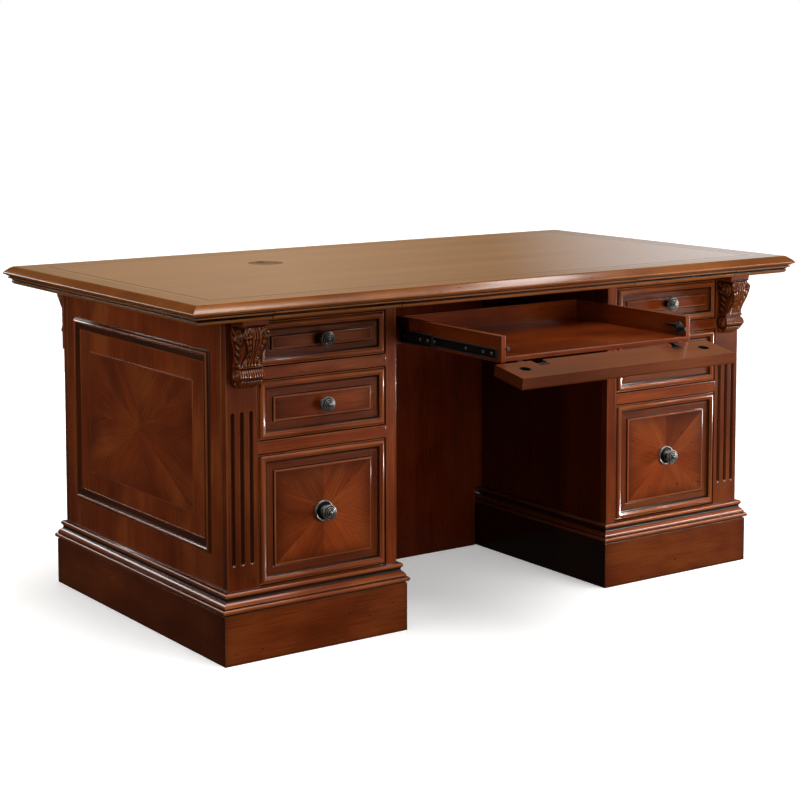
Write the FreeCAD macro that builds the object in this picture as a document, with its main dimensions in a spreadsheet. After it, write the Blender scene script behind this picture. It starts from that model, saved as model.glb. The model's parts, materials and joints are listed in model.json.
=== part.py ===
import FreeCAD, Part
import Sketcher
import math
import os
from types import SimpleNamespace

# Pedestal desk with a moulded top, two drawer pedestals, a modesty panel,
# two writing slides and a keyboard tray with a drop front.
# Millimetres. +X is to the right, the front faces -Y and +Z is up.
# Pieces are drawn with the middle of the base at y = 0, and each finished
# piece is then moved along Y so that the whole desk, tray out, is centred.

doc = FreeCAD.newDocument("PedestalDesk")
Vector = FreeCAD.Vector

# Driving sizes
SIZES = {
    # the top
    "desk_height": 762, "top_width": 1687, "top_depth": 923, "top_thickness": 24,
    "edging_width": 60, "nose_inset": 19, "nose_drop": 12.5, "nose_under": 6,
    # the layer under the top, which holds the writing slides
    "layer_thickness": 18, "layer_inset": 9, "layer_fillet": 4, "layer_cove": 8, "layer_cove_drop": 6,
    "layer_quirk": 2, "layer_bead": 6, "front_board_depth": 110, "rear_board_depth": 75,
    "writing_length": 440, "writing_side_gap": 1, "writing_clearance": 0.5,
    # pedestals and their bases
    "side_overhang": 99.5, "end_overhang": 61.5, "pedestal_width": 458, "plinth_height": 107,
    "plinth_board": 25, "body_inset": 17, "panel_thickness": 20,
    "moulding_height": 45, "torus_foot": 2, "torus_out": 12, "torus_round": 11.5, "scotia_height": 15,
    "scotia_out": 4, "scotia_round": 9, "cap_bead_height": 6, "cap_bead_out": 7, "cap_bead_round": 3.2,
    "mitre_reach": 40,
    "pilaster_width": 75, "stile_width": 27,
    "flute_radius": 5.5, "flute_depth": 4.5, "flute_pitch": 22,
    "flute_low_margin": 95, "flute_top_margin": 195,
    # drawer openings, from the top down; the file drawer takes the height that is left
    "top_rail": 10, "top_opening": 97, "upper_rail": 25, "middle_opening": 130, "lower_rail": 26,
    "dust_board": 12,
    # side frames
    "frame_end_margin": 65, "frame_low_margin": 68, "frame_top_margin": 72, "frame_width": 28,
    "frame_edge": 9, "frame_bead": 9, "frame_bead_round": 5, "frame_slope": 7, "frame_slope_foot": 3,
    "frame_lip": 5, "frame_lip_rise": 4.5, "side_field_margin": 72, "side_field_rise": 1.5,
    # corbels
    "corbel_width": 62, "corbel_height": 145, "corbel_edge": 12, "abacus_height": 12, "abacus_reach": 50,
    "leaf_reach": 55, "leaf_drop": 38, "waist_reach": 27, "waist_drop": 98, "scroll_foot": 24,
    "foot_drop": 134, "corbel_tip": 6, "leaf_round": 60, "scroll_round": 19,
    # modesty panel
    "modesty_set_back": 101, "modesty_thickness": 20, "modesty_clearance": 4,
    # drawers
    "drawer_gap": 2.5, "front_base": 17, "bead_width": 15, "bead_height": 7, "bead_round": 5,
    "field_margin": 36, "field_height": 3, "field_round": 1.5,
    "box_wall": 12, "box_bottom": 6, "box_depth": 500, "box_inset": 1.5, "box_lift": 0.5,
    "bottom_groove": 10, "top_headroom": 16.5, "middle_headroom": 29.5, "file_headroom": 29.5,
    # knobs
    "knob_radius": 17, "knob_length": 28, "knob_neck_radius": 6, "knob_foot_radius": 9, "knob_foot": 3,
    "knob_head": 13, "knob_rim": 5, "plate_radius": 23, "plate_thickness": 4,
    # keyboard tray and its drop front
    "tray_depth": 380, "tray_side": 11, "tray_height": 56, "tray_lift": 12.5,
    "tray_floor": 10, "tray_floor_lift": 2, "tray_travel": 340,
    "flap_side_gap": 10, "flap_base": 18, "flap_bead": 8, "flap_gap": 1, "flap_open": 100,
    "hinge_inset": 15, "hinge_side_margin": 77, "hinge_width": 28, "hinge_notch": 17,
    "hinge_notch_depth": 22, "hinge_side_gap": 1, "hinge_leaf": 3, "hinge_leaf_length": 45,
    "knuckle_radius": 4.5, "pin_radius": 2.5, "pin_clearance": 0.3,
    "plate_height": 14, "plate_inlay": 1.5,
    "cup_radius": 12.5, "cup_depth": 8, "cup_wall": 1.5, "cup_rise": 41,
    "catch_radius": 15, "catch_thickness": 8, "catch_set_back": 21, "catch_arm": 46, "catch_arm_height": 9,
    "catch_arm_rise": 5, "nub_radius": 4, "nub_reach": 4,
    # tray slides
    "slide_length": 350, "slide_member": 4, "slide_play": 0.3, "outer_height": 35, "middle_height": 29,
    "inner_height": 22, "slide_rise": 17, "slide_set_back": 5, "inner_set_back": 13, "middle_travel": 115,
    "spacer_thickness": 28.4,
    # cable disc in the top
    "disc_radius": 42, "disc_thickness": 8, "disc_play": 0.3, "cable_bore": 35, "cable_hole": 10,
    "disc_from_middle": 304, "disc_from_rear": 301.5, "hole_offset": 24,
}

sheet = doc.addObject("Spreadsheet::Sheet", "Sizes")
for row, (name, number) in enumerate(SIZES.items(), start=1):
    sheet.set(f"A{row}", name)
    sheet.set(f"B{row}", str(number))
    sheet.setAlias(f"B{row}", name)
doc.recompute()


class Size:
    """A number together with the formula that ties it to the sheet."""

    def __init__(self, value, formula):
        self.value = float(value)
        self.formula = formula

    def __add__(self, other):
        other = as_size(other)
        return Size(self.value + other.value, f"({self.formula} + {other.formula})")

    def __sub__(self, other):
        other = as_size(other)
        return Size(self.value - other.value, f"({self.formula} - {other.formula})")

    def __mul__(self, other):
        other = as_size(other)
        return Size(self.value * other.value, f"({self.formula} * {other.formula})")

    def __truediv__(self, other):
        other = as_size(other)
        return Size(self.value / other.value, f"({self.formula} / {other.formula})")

    def __neg__(self):
        return Size(-self.value, f"(-1 * {self.formula})")

    def __radd__(self, other):
        return as_size(other) + self

    def __rsub__(self, other):
        return as_size(other) - self


def as_size(number):
    """A plain number as a Size."""
    return number if isinstance(number, Size) else Size(number, f"({number})")


def sine(angle):
    """Sine of an angle in degrees."""
    return Size(math.sin(math.radians(angle.value)), f"sin({angle.formula} * 1 deg)")


def cosine(angle):
    """Cosine of an angle in degrees."""
    return Size(math.cos(math.radians(angle.value)), f"cos({angle.formula} * 1 deg)")


size = SimpleNamespace(**{name: Size(sheet.get(name), f"Sizes.{name}") for name in SIZES})


# Ways to make a piece

def bind(thing, **sizes):
    """Bind the properties of an object to the sheet; a double underscore stands for a dot."""
    for path, value in sizes.items():
        thing.setExpression(path.replace("__", "."), as_size(value).formula)
    return thing


def put(thing, x=0, y=0, z=0):
    """Bind the place of an object."""
    return bind(thing, Placement__Base__x=x, Placement__Base__y=y, Placement__Base__z=z)


def board(name, x, y, z):
    """A board between pairs of coordinates."""
    box = bind(doc.addObject("Part::Box", name), Length=x[1] - x[0], Width=y[1] - y[0], Height=z[1] - z[0])
    return put(box, x[0], y[0], z[0])


def cylinder(name, radius, length, place, axis=(0, 0, 1)):
    """A cylinder that starts at a place and runs along an axis."""
    rod = bind(doc.addObject("Part::Cylinder", name), Radius=radius, Height=length)
    rod.Placement = FreeCAD.Placement(Vector(), FreeCAD.Rotation(Vector(0, 0, 1), Vector(*axis)))
    return put(rod, *place)


def combine(kind, name, base, tool):
    """A cut, fuse or common of two objects."""
    result = doc.addObject(f"Part::{kind}", name)
    result.Base = base
    result.Tool = tool
    return result


def fuse(name, pieces):
    """Several objects joined into one solid."""
    result = doc.addObject("Part::MultiFuse", name)
    result.Shapes = pieces
    result.Refine = True
    return result


def mirror(source, axis, at=0):
    """The mirror image of an object in the plane square to an axis."""
    image = doc.addObject("Part::Mirroring", f"{source.Name}_{axis}_image")
    image.Source = source
    image.Normal = {"x": (1, 0, 0), "y": (0, 1, 0), "z": (0, 0, 1)}[axis]
    return bind(image, **{f"Base__{axis}": at})


# The plane of a sketch: how it is turned, and the direction that it is pulled
PLANES = {
    "XY": (FreeCAD.Rotation(), (0, 0, 1)),
    "XZ": (FreeCAD.Rotation(Vector(1, 0, 0), 90), (0, 1, 0)),
    "YZ": (FreeCAD.Rotation(Vector(1, 1, 1), 120), (1, 0, 0)),
}


def arc_middle(start, end, radius):
    """The middle of an arc; a positive radius swells to the right of the way it runs."""
    run = end.sub(start)
    half = run.Length / 2
    sagitta = abs(radius) - math.sqrt(max(radius * radius - half * half, 0.0))
    side = Vector(run.y, -run.x, 0).normalize()
    return start.add(run * 0.5).add(side * math.copysign(sagitta, radius))


def level_round(rise, run):
    """The radius of an arc that starts level and has risen by one amount over a run."""
    return (rise * rise + run * run) / (rise * 2)


def draw(sketch, corners):
    """Draw a closed outline. A corner is (u, v), or (u, v, radius) where an arc starts there."""
    points = [Vector(as_size(c[0]).value, as_size(c[1]).value, 0) for c in corners]
    first = sketch.GeometryCount
    count = len(corners)
    starts = []
    for index, corner in enumerate(corners):
        start, end = points[index], points[(index + 1) % count]
        radius = as_size(corner[2]).value if len(corner) == 3 else 0.0
        hollow = radius < 0
        # a hollow arc runs clockwise, so it is drawn from its end
        starts.append(2 if hollow else 1)
        if radius:
            middle_point = arc_middle(start, end, radius)
            edge = Part.Arc(end, middle_point, start) if hollow else Part.Arc(start, middle_point, end)
        else:
            edge = Part.LineSegment(start, end)
        sketch.addGeometry(edge)
    for index in range(count):
        following = (index + 1) % count
        sketch.addConstraint(Sketcher.Constraint(
            "Coincident", first + index, 3 - starts[index], first + following, starts[following]))
    for index, corner in enumerate(corners):
        for kind, value in (("DistanceX", corner[0]), ("DistanceY", corner[1])):
            value = as_size(value)
            held = sketch.addConstraint(Sketcher.Constraint(
                kind, -1, 1, first + index, starts[index], value.value))
            sketch.setExpression(f"Constraints[{held}]", value.formula)
        if len(corner) == 3:
            radius = as_size(corner[2])
            radius = radius if radius.value > 0 else -radius
            held = sketch.addConstraint(Sketcher.Constraint("Radius", first + index, radius.value))
            sketch.setExpression(f"Constraints[{held}]", radius.formula)


def prism(name, plane, corners, span):
    """An outline pulled along the axis square to its plane, over a span."""
    turn, direction = PLANES[plane]
    sketch = doc.addObject("Sketcher::SketchObject", f"{name}_outline")
    sketch.Placement = FreeCAD.Placement(Vector(), turn)
    axis = "xyz"[direction.index(1)]
    put(sketch, **{axis: span[0]})
    draw(sketch, corners)
    pulled = doc.addObject("Part::Extrusion", name)
    pulled.Base = sketch
    pulled.DirMode = "Custom"
    pulled.Dir = direction
    pulled.Solid = True
    return bind(pulled, LengthFwd=span[1] - span[0])


def start_body(name):
    """An empty body and the planes of its origin."""
    body = doc.addObject("PartDesign::Body", name)
    planes = {plane.Role: plane for plane in body.Origin.OriginFeatures}
    return body, planes


def front_sketch(body, planes, name, depth, outlines):
    """A sketch on a plane that faces the front, at a depth y."""
    sketch = body.newObject("Sketcher::SketchObject", name)
    sketch.AttachmentSupport = [(planes["XZ_Plane"], "")]
    sketch.MapMode = "FlatFace"
    bind(sketch, AttachmentOffset__Base__z=-depth)
    for corners in outlines:
        draw(sketch, corners)
    return sketch


def pad(body, sketch, length):
    """A pad towards the front."""
    made = body.newObject("PartDesign::Pad", f"{sketch.Name}_pad")
    made.Profile = sketch
    return bind(made, Length=length)


def rectangle(x, z):
    """The corners of a rectangle between pairs of coordinates."""
    return [(x[0], z[0]), (x[1], z[0]), (x[1], z[1]), (x[0], z[1])]


def grow(span, amount):
    """A span made longer at both ends."""
    return span[0] - amount, span[1] + amount


def round_front_edges(body, feature, depth, radius, name):
    """Round every edge of a feature that lies in a plane facing the front."""
    doc.recompute()
    edges = []
    for number, edge in enumerate(feature.Shape.Edges, start=1):
        box = edge.BoundBox
        if abs(box.YMin - depth.value) < 1e-4 and abs(box.YMax - depth.value) < 1e-4:
            edges.append(f"Edge{number}")
    rounded = body.newObject("PartDesign::Fillet", name)
    rounded.Base = (feature, edges)
    return bind(rounded, Radius=radius)


nodes = []


def node(label, *pieces):
    """Gather the solids of one piece of the desk under its name, and centre it with the desk."""
    group = doc.addObject("Part::Compound", f"{label}_piece")
    group.Label = label
    group.Links = list(pieces)
    put(group, y=middle)
    nodes.append(group)
    return group


def both_sides(label, *pieces):
    """A piece of the left pedestal, and its mirror image on the right."""
    node(f"{label}_left", *pieces)
    node(f"{label}_right", *[mirror(piece, "x") for piece in pieces])


# Levels, from the floor up
top_level = size.desk_height
slab_level = top_level - size.top_thickness
body_level = slab_level - size.layer_thickness
foot_level = size.plinth_height
moulding_level = foot_level + size.moulding_height

# Drawer openings, each a span of heights
top_span = (body_level - size.top_rail - size.top_opening, body_level - size.top_rail)
middle_top = top_span[0] - size.upper_rail
middle_span = (middle_top - size.middle_opening, middle_top)
file_span = (moulding_level, middle_span[0] - size.lower_rail)

# Edges of the top
top_x = (-size.top_width / 2, size.top_width / 2)
top_y = (-size.top_depth / 2, size.top_depth / 2)

# Faces of the left pedestal
plinth_start = top_x[0] + size.side_overhang
plinth_x = (plinth_start, plinth_start + size.pedestal_width)
plinth_y = grow(top_y, -size.end_overhang)
body_x = (plinth_x[0] + size.body_inset, plinth_x[1] - size.body_inset)
body_y = (plinth_y[0] + size.body_inset, plinth_y[1] - size.body_inset)
inside_x = (body_x[0] + size.panel_thickness, body_x[1] - size.panel_thickness)
inside_y = (body_y[0] + size.panel_thickness, body_y[1] - size.panel_thickness)
opening_x = (body_x[0] + size.pilaster_width, body_x[1] - size.stile_width)
body_z = (foot_level, body_level)

# Drawer faces and the tray that lines up with them
front_face = inside_y[0] - size.front_base - size.bead_height
flap_thickness = size.flap_base + size.flap_bead
tray_in = front_face + flap_thickness + size.flap_gap
tray_front = tray_in - size.tray_travel
flap_span = (top_span[0] + size.drawer_gap, top_span[1] - size.drawer_gap)
hinge_y = tray_front - size.flap_gap - size.hinge_inset
hinge_z = flap_span[0]
flap_height = flap_span[1] - flap_span[0]

# The lip of the open flap is the foremost point of the desk
lip = hinge_y + size.hinge_inset * cosine(size.flap_open) - flap_height * sine(size.flap_open)
middle = (-lip - size.top_depth / 2) / 2

# Top panel with a stepped hole for the cable disc
panel_x = grow(top_x, -size.edging_width)
panel_y = grow(top_y, -size.edging_width)
disc_x = -size.disc_from_middle
disc_y = top_y[1] - size.disc_from_rear
slab = board("slab", panel_x, panel_y, (slab_level, top_level))
seat_level = top_level - size.disc_thickness
bore = cylinder("bore", size.cable_bore, size.top_thickness, (disc_x, disc_y, slab_level))
seat = cylinder("seat", size.disc_radius + size.disc_play, size.disc_thickness, (disc_x, disc_y, seat_level))
node("top_panel", combine("Cut", "holed_slab", slab, fuse("hole", [bore, seat])))

# Cable disc, flush with the top, with its hole to the rear
disc = cylinder("disc", size.disc_radius, size.disc_thickness, (disc_x, disc_y, seat_level))
hole = cylinder("hole_tool", size.cable_hole, size.disc_thickness,
                (disc_x, disc_y + size.hole_offset, seat_level))
node("cable_disc", combine("Cut", "holed_disc", disc, hole))


# Solid edging round the top, with a thumb-nail nose, mitred at the corners
def nose(edge):
    """The section of the edging, inwards from its tip."""
    tip_level = top_level - size.nose_drop
    upper_round = level_round(size.nose_drop, size.nose_inset)
    lower_round = level_round(size.nose_under, size.top_thickness - size.nose_drop)
    return [
        (edge + size.edging_width, slab_level),
        (edge + size.edging_width, top_level),
        (edge + size.nose_inset, top_level, upper_round),
        (edge, tip_level, lower_round),
        (edge + size.nose_under, slab_level),
    ]


slab_z = (slab_level, top_level)
left_mitre = prism("left_mitre", "XY", [
    (top_x[0], top_y[0]), (panel_x[0], panel_y[0]), (panel_x[0], panel_y[1]), (top_x[0], top_y[1])], slab_z)
front_mitre = prism("front_mitre", "XY", [
    (top_x[0], top_y[0]), (top_x[1], top_y[0]), (panel_x[1], panel_y[0]), (panel_x[0], panel_y[0])], slab_z)
left_strip = prism("left_nose", "XZ", nose(top_x[0]), top_y)
left_edging = combine("Common", "left_edging", left_strip, left_mitre)
front_strip = prism("front_nose", "YZ", nose(top_y[0]), top_x)
front_edging = combine("Common", "front_edging", front_strip, front_mitre)
node("top_edging", left_edging, front_edging, mirror(left_edging, "x"), mirror(front_edging, "y"))


# The moulded layer under the top
def layer_edge(edge):
    """The moulded edge of the layer, from the top down: a fillet, a cove, a quirk and a bead."""
    fillet = edge + size.layer_inset
    cove = fillet + size.layer_cove
    fillet_level = slab_level - size.layer_fillet
    cove_level = fillet_level - size.layer_cove_drop
    return [
        (fillet, slab_level),
        (fillet, fillet_level, -size.layer_cove),
        (cove, cove_level),
        (cove - size.layer_quirk, cove_level, size.layer_cove),
        (cove + size.layer_bead, body_level),
    ]


def mirrored(corners):
    """The same line mirrored in the upright axis and run the other way."""
    turned = []
    for index in reversed(range(len(corners))):
        arc = corners[index - 1][2:] if index else ()
        turned.append((-corners[index][0], corners[index][1]) + tuple(arc))
    return turned


def back_to(place):
    """The straight end that closes a moulded edge."""
    return [(place, body_level), (place, slab_level)]


writing_x = grow(opening_x, -size.writing_side_gap)
layer_y = grow(top_y, -size.layer_inset)
front_section = layer_edge(top_y[0])
end_board = prism("end_board", "XZ", layer_edge(top_x[0]) + back_to(opening_x[0]), layer_y)
end_profile = prism("end_profile", "YZ", front_section + mirrored(front_section), (top_x[0], opening_x[0]))
both_sides("under_top_end", combine("Common", "moulded_end", end_board, end_profile))

front_board = front_section + back_to(layer_y[0] + size.front_board_depth)
node("under_top_front", prism("moulded_front", "YZ", front_board, (opening_x[1], -opening_x[1])))
rear_board = front_section + back_to(layer_y[0] + size.rear_board_depth)
rear_piece = prism("moulded_rear", "YZ", rear_board, (opening_x[0], -opening_x[0]))
node("under_top_rear", mirror(rear_piece, "y"))

# Writing slides, whose fronts carry on the moulding
writing_section = front_section + back_to(layer_y[0] + size.writing_length)
writing_blank = prism("writing_blank", "YZ", writing_section, writing_x)
writing_room = board("writing_room", writing_x, (top_y[0], layer_y[0] + size.writing_length),
                     grow((body_level, slab_level), -size.writing_clearance))
both_sides("writing_slide", combine("Common", "writing_board", writing_blank, writing_room))

# Carcass of a pedestal
side_board = board("side_board", (body_x[0], inside_x[0]), inside_y, body_z)
frame_y = grow(body_y, -size.frame_end_margin)
frame_z = (moulding_level + size.frame_low_margin, body_level - size.frame_top_margin)
side_field = board("side_field", (body_x[0] - size.side_field_rise, body_x[0]),
                   grow(frame_y, -size.side_field_margin), grow(frame_z, -size.side_field_margin))
both_sides("side_panel", fuse("fielded_side", [side_board, side_field]))
both_sides("inner_panel", board("inner_board", (inside_x[1], body_x[1]), inside_y, body_z))
both_sides("back_panel", board("back_board", (opening_x[0], body_x[1]), (inside_y[1], body_y[1]), body_z))
front_y = (body_y[0], inside_y[0])
both_sides("stile", board("stile_board", (opening_x[1], body_x[1]), front_y, body_z))

# Fluted pilasters at the outer corners, front and rear
flute_z = (foot_level + size.flute_low_margin, body_level - size.flute_top_margin)
flute_y = body_y[0] - (size.flute_radius - size.flute_depth)
flute_tools = []
for index in (-1, 0, 1):
    flute_x = (body_x[0] + opening_x[0]) / 2 + size.flute_pitch * index
    flute_tools.append(cylinder(f"flute_{index + 2}", size.flute_radius, flute_z[1] - flute_z[0],
                                (flute_x, flute_y, flute_z[0])))
    for end, level in zip(("low", "high"), flute_z):
        ball = bind(doc.addObject("Part::Sphere", f"flute_{index + 2}_{end}"), Radius=size.flute_radius)
        flute_tools.append(put(ball, flute_x, flute_y, level))
pilaster_board = board("pilaster_board", (body_x[0], opening_x[0]), front_y, body_z)
pilaster = combine("Cut", "pilaster", pilaster_board, fuse("flutes", flute_tools))
both_sides("pilasters", pilaster, mirror(pilaster, "y"))

# Rails between the drawers and the boards behind them
rail_heights = [(foot_level, moulding_level), (file_span[1], middle_span[0]),
                (middle_span[1], top_span[0]), (top_span[1], body_level)]
both_sides("rails", *[board(f"rail_{index}", opening_x, front_y, span)
                      for index, span in enumerate(rail_heights, start=1)])
board_tops = [moulding_level, middle_span[0], top_span[0]]
dust_boards = [board(f"dust_board_{index}", inside_x, inside_y, (level - size.dust_board, level))
               for index, level in enumerate(board_tops, start=1)]
dust_boards.append(board("pedestal_top", inside_x, inside_y, (top_span[1], body_level)))
both_sides("dust_boards", *dust_boards)


# Raised frame on each outer side, mitred at the corners
def frame_section(face, edge, inward, swell):
    """The section of the side frame, from its outer edge inwards."""
    def at(across, rise):
        return face - rise, edge + as_size(inward) * across
    slope_end = size.frame_width - size.frame_lip
    return [
        at(0, as_size(0)),
        at(0, size.frame_edge) + (size.frame_bead_round * swell,),
        at(size.frame_bead, size.frame_edge),
        at(size.frame_bead, size.frame_slope),
        at(slope_end, size.frame_slope_foot),
        at(slope_end, size.frame_lip_rise),
        at(size.frame_width, size.frame_lip_rise),
        at(size.frame_width, as_size(0)),
    ]


frame_inner_y = grow(frame_y, -size.frame_width)
frame_inner_z = grow(frame_z, -size.frame_width)
frame_room = (body_x[0] - size.frame_edge - size.frame_bead, body_x[0])
upright_mitre = prism("upright_mitre", "YZ", [
    (frame_y[0], frame_z[0]), (frame_inner_y[0], frame_inner_z[0]),
    (frame_inner_y[0], frame_inner_z[1]), (frame_y[0], frame_z[1])], frame_room)
header_mitre = prism("header_mitre", "YZ", [
    (frame_y[0], frame_z[1]), (frame_inner_y[0], frame_inner_z[1]),
    (frame_inner_y[1], frame_inner_z[1]), (frame_y[1], frame_z[1])], frame_room)
upright_strip = prism("upright_strip", "XY", frame_section(body_x[0], frame_y[0], 1, -1), frame_z)
header_strip = prism("header_strip", "XZ", frame_section(body_x[0], frame_z[1], -1, 1), frame_y)
upright = combine("Common", "frame_upright", upright_strip, upright_mitre)
header = combine("Common", "frame_header", header_strip, header_mitre)
frame_middle = (frame_z[0] + frame_z[1]) / 2
both_sides("side_frame", upright, header, mirror(upright, "y"), mirror(header, "z", frame_middle))

# Plinth of four boards
plinth_inner_x = grow(plinth_x, -size.plinth_board)
plinth_inner_y = grow(plinth_y, -size.plinth_board)
plinth_z = (as_size(0), foot_level)
plinth_front = board("plinth_front", plinth_x, (plinth_y[0], plinth_inner_y[0]), plinth_z)
plinth_side = board("plinth_side", (plinth_x[0], plinth_inner_x[0]), plinth_inner_y, plinth_z)
pedestal_middle = (plinth_x[0] + plinth_x[1]) / 2
both_sides("plinth", plinth_front, plinth_side, mirror(plinth_front, "y"),
           mirror(plinth_side, "x", pedestal_middle))


# Base moulding on the plinth, mitred at the corners
def base_section(face):
    """The section of the base moulding, from the top down: a bead, a scotia and a torus."""
    bead_foot = moulding_level - size.cap_bead_height
    scotia_foot = bead_foot - size.scotia_height
    return [
        (face, moulding_level),
        (face - size.cap_bead_out, moulding_level, size.cap_bead_round),
        (face - size.cap_bead_out, bead_foot, -size.scotia_round),
        (face - size.scotia_out, scotia_foot),
        (face - size.torus_out, scotia_foot, size.torus_round),
        (face - size.torus_out, foot_level + size.torus_foot),
        (face - size.torus_out, foot_level),
        (face, foot_level),
    ]


mitre_x = grow(body_x, size.mitre_reach)
mitre_y = grow(body_y, size.mitre_reach)
moulding_z = (foot_level, moulding_level)
base_front_mitre = prism("base_front_mitre", "XY", [
    (mitre_x[0], mitre_y[0]), (mitre_x[1], mitre_y[0]),
    (body_x[1], body_y[0]), (body_x[0], body_y[0])], moulding_z)
base_side_mitre = prism("base_side_mitre", "XY", [
    (mitre_x[0], mitre_y[0]), (body_x[0], body_y[0]),
    (body_x[0], body_y[1]), (mitre_x[0], mitre_y[1])], moulding_z)
base_front_strip = prism("base_front_strip", "YZ", base_section(body_y[0]), mitre_x)
base_side_strip = prism("base_side_strip", "XZ", base_section(body_x[0]), mitre_y)
base_front = combine("Common", "base_front", base_front_strip, base_front_mitre)
base_side = combine("Common", "base_side", base_side_strip, base_side_mitre)
both_sides("base_moulding", base_front, base_side, mirror(base_front, "y"),
           mirror(base_side, "x", pedestal_middle))

# Corbels under the overhang of the top, front and rear
corbel_x = (body_x[0] + size.corbel_edge, body_x[0] + size.corbel_edge + size.corbel_width)
corbel_section = [
    (body_y[0], body_level),
    (body_y[0] - size.abacus_reach, body_level),
    (body_y[0] - size.abacus_reach, body_level - size.abacus_height),
    (body_y[0] - size.leaf_reach, body_level - size.leaf_drop, -size.leaf_round),
    (body_y[0] - size.waist_reach, body_level - size.waist_drop, size.scroll_round),
    (body_y[0] - size.scroll_foot, body_level - size.foot_drop),
    (body_y[0] - size.corbel_tip, body_level - size.corbel_height),
    (body_y[0], body_level - size.corbel_height),
]
corbel = prism("corbel", "YZ", corbel_section, corbel_x)
both_sides("corbels", corbel, mirror(corbel, "y"))

# Modesty panel between the pedestals, down to the floor
wide = -body_x[1]
narrow = -plinth_x[1] - size.modesty_clearance
node("modesty_panel", prism("modesty_board", "XZ", [
    (-narrow, 0), (narrow, 0), (narrow, moulding_level), (wide, moulding_level),
    (wide, slab_level), (-wide, slab_level), (-wide, moulding_level), (-narrow, moulding_level),
], (size.modesty_set_back, size.modesty_set_back + size.modesty_thickness)))


# Drawer fronts: a board with a bead round its edge and a raised field
def panelled_front(name, x, z, back, base, bead):
    """A front that faces -Y, from its back plane: board, beaded edge and raised field."""
    body, planes = start_body(name)
    pad(body, front_sketch(body, planes, f"{name}_board", back, [rectangle(x, z)]), base)
    bead_back = back - base
    bead_inner = rectangle(grow(x, -size.bead_width), grow(z, -size.bead_width))
    ring = front_sketch(body, planes, f"{name}_bead", bead_back, [rectangle(x, z), bead_inner])
    beaded = pad(body, ring, bead)
    round_front_edges(body, beaded, bead_back - bead, size.bead_round, f"{name}_round")
    field = rectangle(grow(x, -size.field_margin), grow(z, -size.field_margin))
    raised = pad(body, front_sketch(body, planes, f"{name}_field", bead_back, [field]), size.field_height)
    field_plane = bead_back - size.field_height
    body.Tip = round_front_edges(body, raised, field_plane, size.field_round, f"{name}_soft")
    return body


def knob(name, x, y, z):
    """A turned knob on a front that faces -Y."""
    body, planes = start_body(name)
    sketch = body.newObject("Sketcher::SketchObject", f"{name}_outline")
    sketch.AttachmentSupport = [(planes["XY_Plane"], "")]
    sketch.MapMode = "FlatFace"
    head = -size.knob_head
    dome = level_round(size.knob_rim, size.knob_radius)
    draw(sketch, [
        (0, 0), (0, -size.knob_length, dome),
        (size.knob_radius, -size.knob_length + size.knob_rim), (size.knob_radius, head - size.knob_rim),
        (size.knob_neck_radius, head), (size.knob_neck_radius, -size.knob_foot),
        (size.knob_foot_radius, -size.knob_foot), (size.knob_foot_radius, 0),
    ])
    turned = body.newObject("PartDesign::Revolution", f"{name}_turned")
    turned.Profile = sketch
    turned.ReferenceAxis = (sketch, ["V_Axis"])
    turned.Angle = 360
    return put(body, x, y, z)


front_x = grow(opening_x, -size.drawer_gap)
box_x = grow(front_x, -size.box_inset)
box_y = (inside_y[0], inside_y[0] + size.box_depth)
knob_x = (front_x[0] + front_x[1]) / 2
field_face = inside_y[0] - size.front_base - size.field_height


def drawer(name, span, headroom, plated):
    """One drawer of the left pedestal and its mirror image: front, box and knob."""
    front_z = grow(span, -size.drawer_gap)
    both_sides(f"{name}_front", panelled_front(f"{name}_panel", front_x, front_z, inside_y[0],
                                               size.front_base, size.bead_height))
    box_z = (span[0] + size.box_lift, span[1] - headroom)
    bottom_z = (box_z[0] + size.bottom_groove, box_z[0] + size.bottom_groove + size.box_bottom)
    inner_x = grow(box_x, -size.box_wall)
    back_y = box_y[1] - size.box_wall
    both_sides(
        f"{name}_box",
        board(f"{name}_outer_side", (box_x[0], inner_x[0]), box_y, box_z),
        board(f"{name}_inner_side", (inner_x[1], box_x[1]), box_y, box_z),
        board(f"{name}_back", inner_x, (back_y, box_y[1]), box_z),
        board(f"{name}_bottom", inner_x, (box_y[0], back_y), bottom_z),
    )
    knob_z = (front_z[0] + front_z[1]) / 2
    if plated:
        plate = cylinder(f"{name}_plate", size.plate_radius, size.plate_thickness,
                         (knob_x, field_face, knob_z), (0, -1, 0))
        pull = knob(f"{name}_pull", knob_x, field_face - size.plate_thickness, knob_z)
        both_sides(f"{name}_knob", pull, plate)
    else:
        both_sides(f"{name}_knob", knob(f"{name}_pull", knob_x, field_face, knob_z))


drawer("top_drawer", top_span, size.top_headroom, False)
drawer("middle_drawer", middle_span, size.middle_headroom, False)
drawer("file_drawer", file_span, size.file_headroom, True)

# Keyboard tray, pulled out, as wide as the slides and their spacers leave room for
slide_room = size.slide_member * 3 + size.slide_play * 2
tray_edge = body_x[1] + size.spacer_thickness + slide_room
tray_x = (tray_edge, -tray_edge)
tray_inner_x = grow(tray_x, -size.tray_side)
tray_y = (tray_front, tray_front + size.tray_depth)
tray_back = tray_y[1] - size.tray_side
tray_z = (hinge_z + size.tray_lift, hinge_z + size.tray_lift + size.tray_height)
floor_z = (tray_z[0] + size.tray_floor_lift, tray_z[0] + size.tray_floor_lift + size.tray_floor)
tray_wall = board("tray_wall", (tray_x[0], tray_inner_x[0]), tray_y, tray_z)
node("tray_box", tray_wall, mirror(tray_wall, "x"),
     board("tray_back_board", tray_inner_x, (tray_back, tray_y[1]), tray_z),
     board("tray_floor_board", tray_inner_x, (tray_front, tray_back), floor_z))

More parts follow.
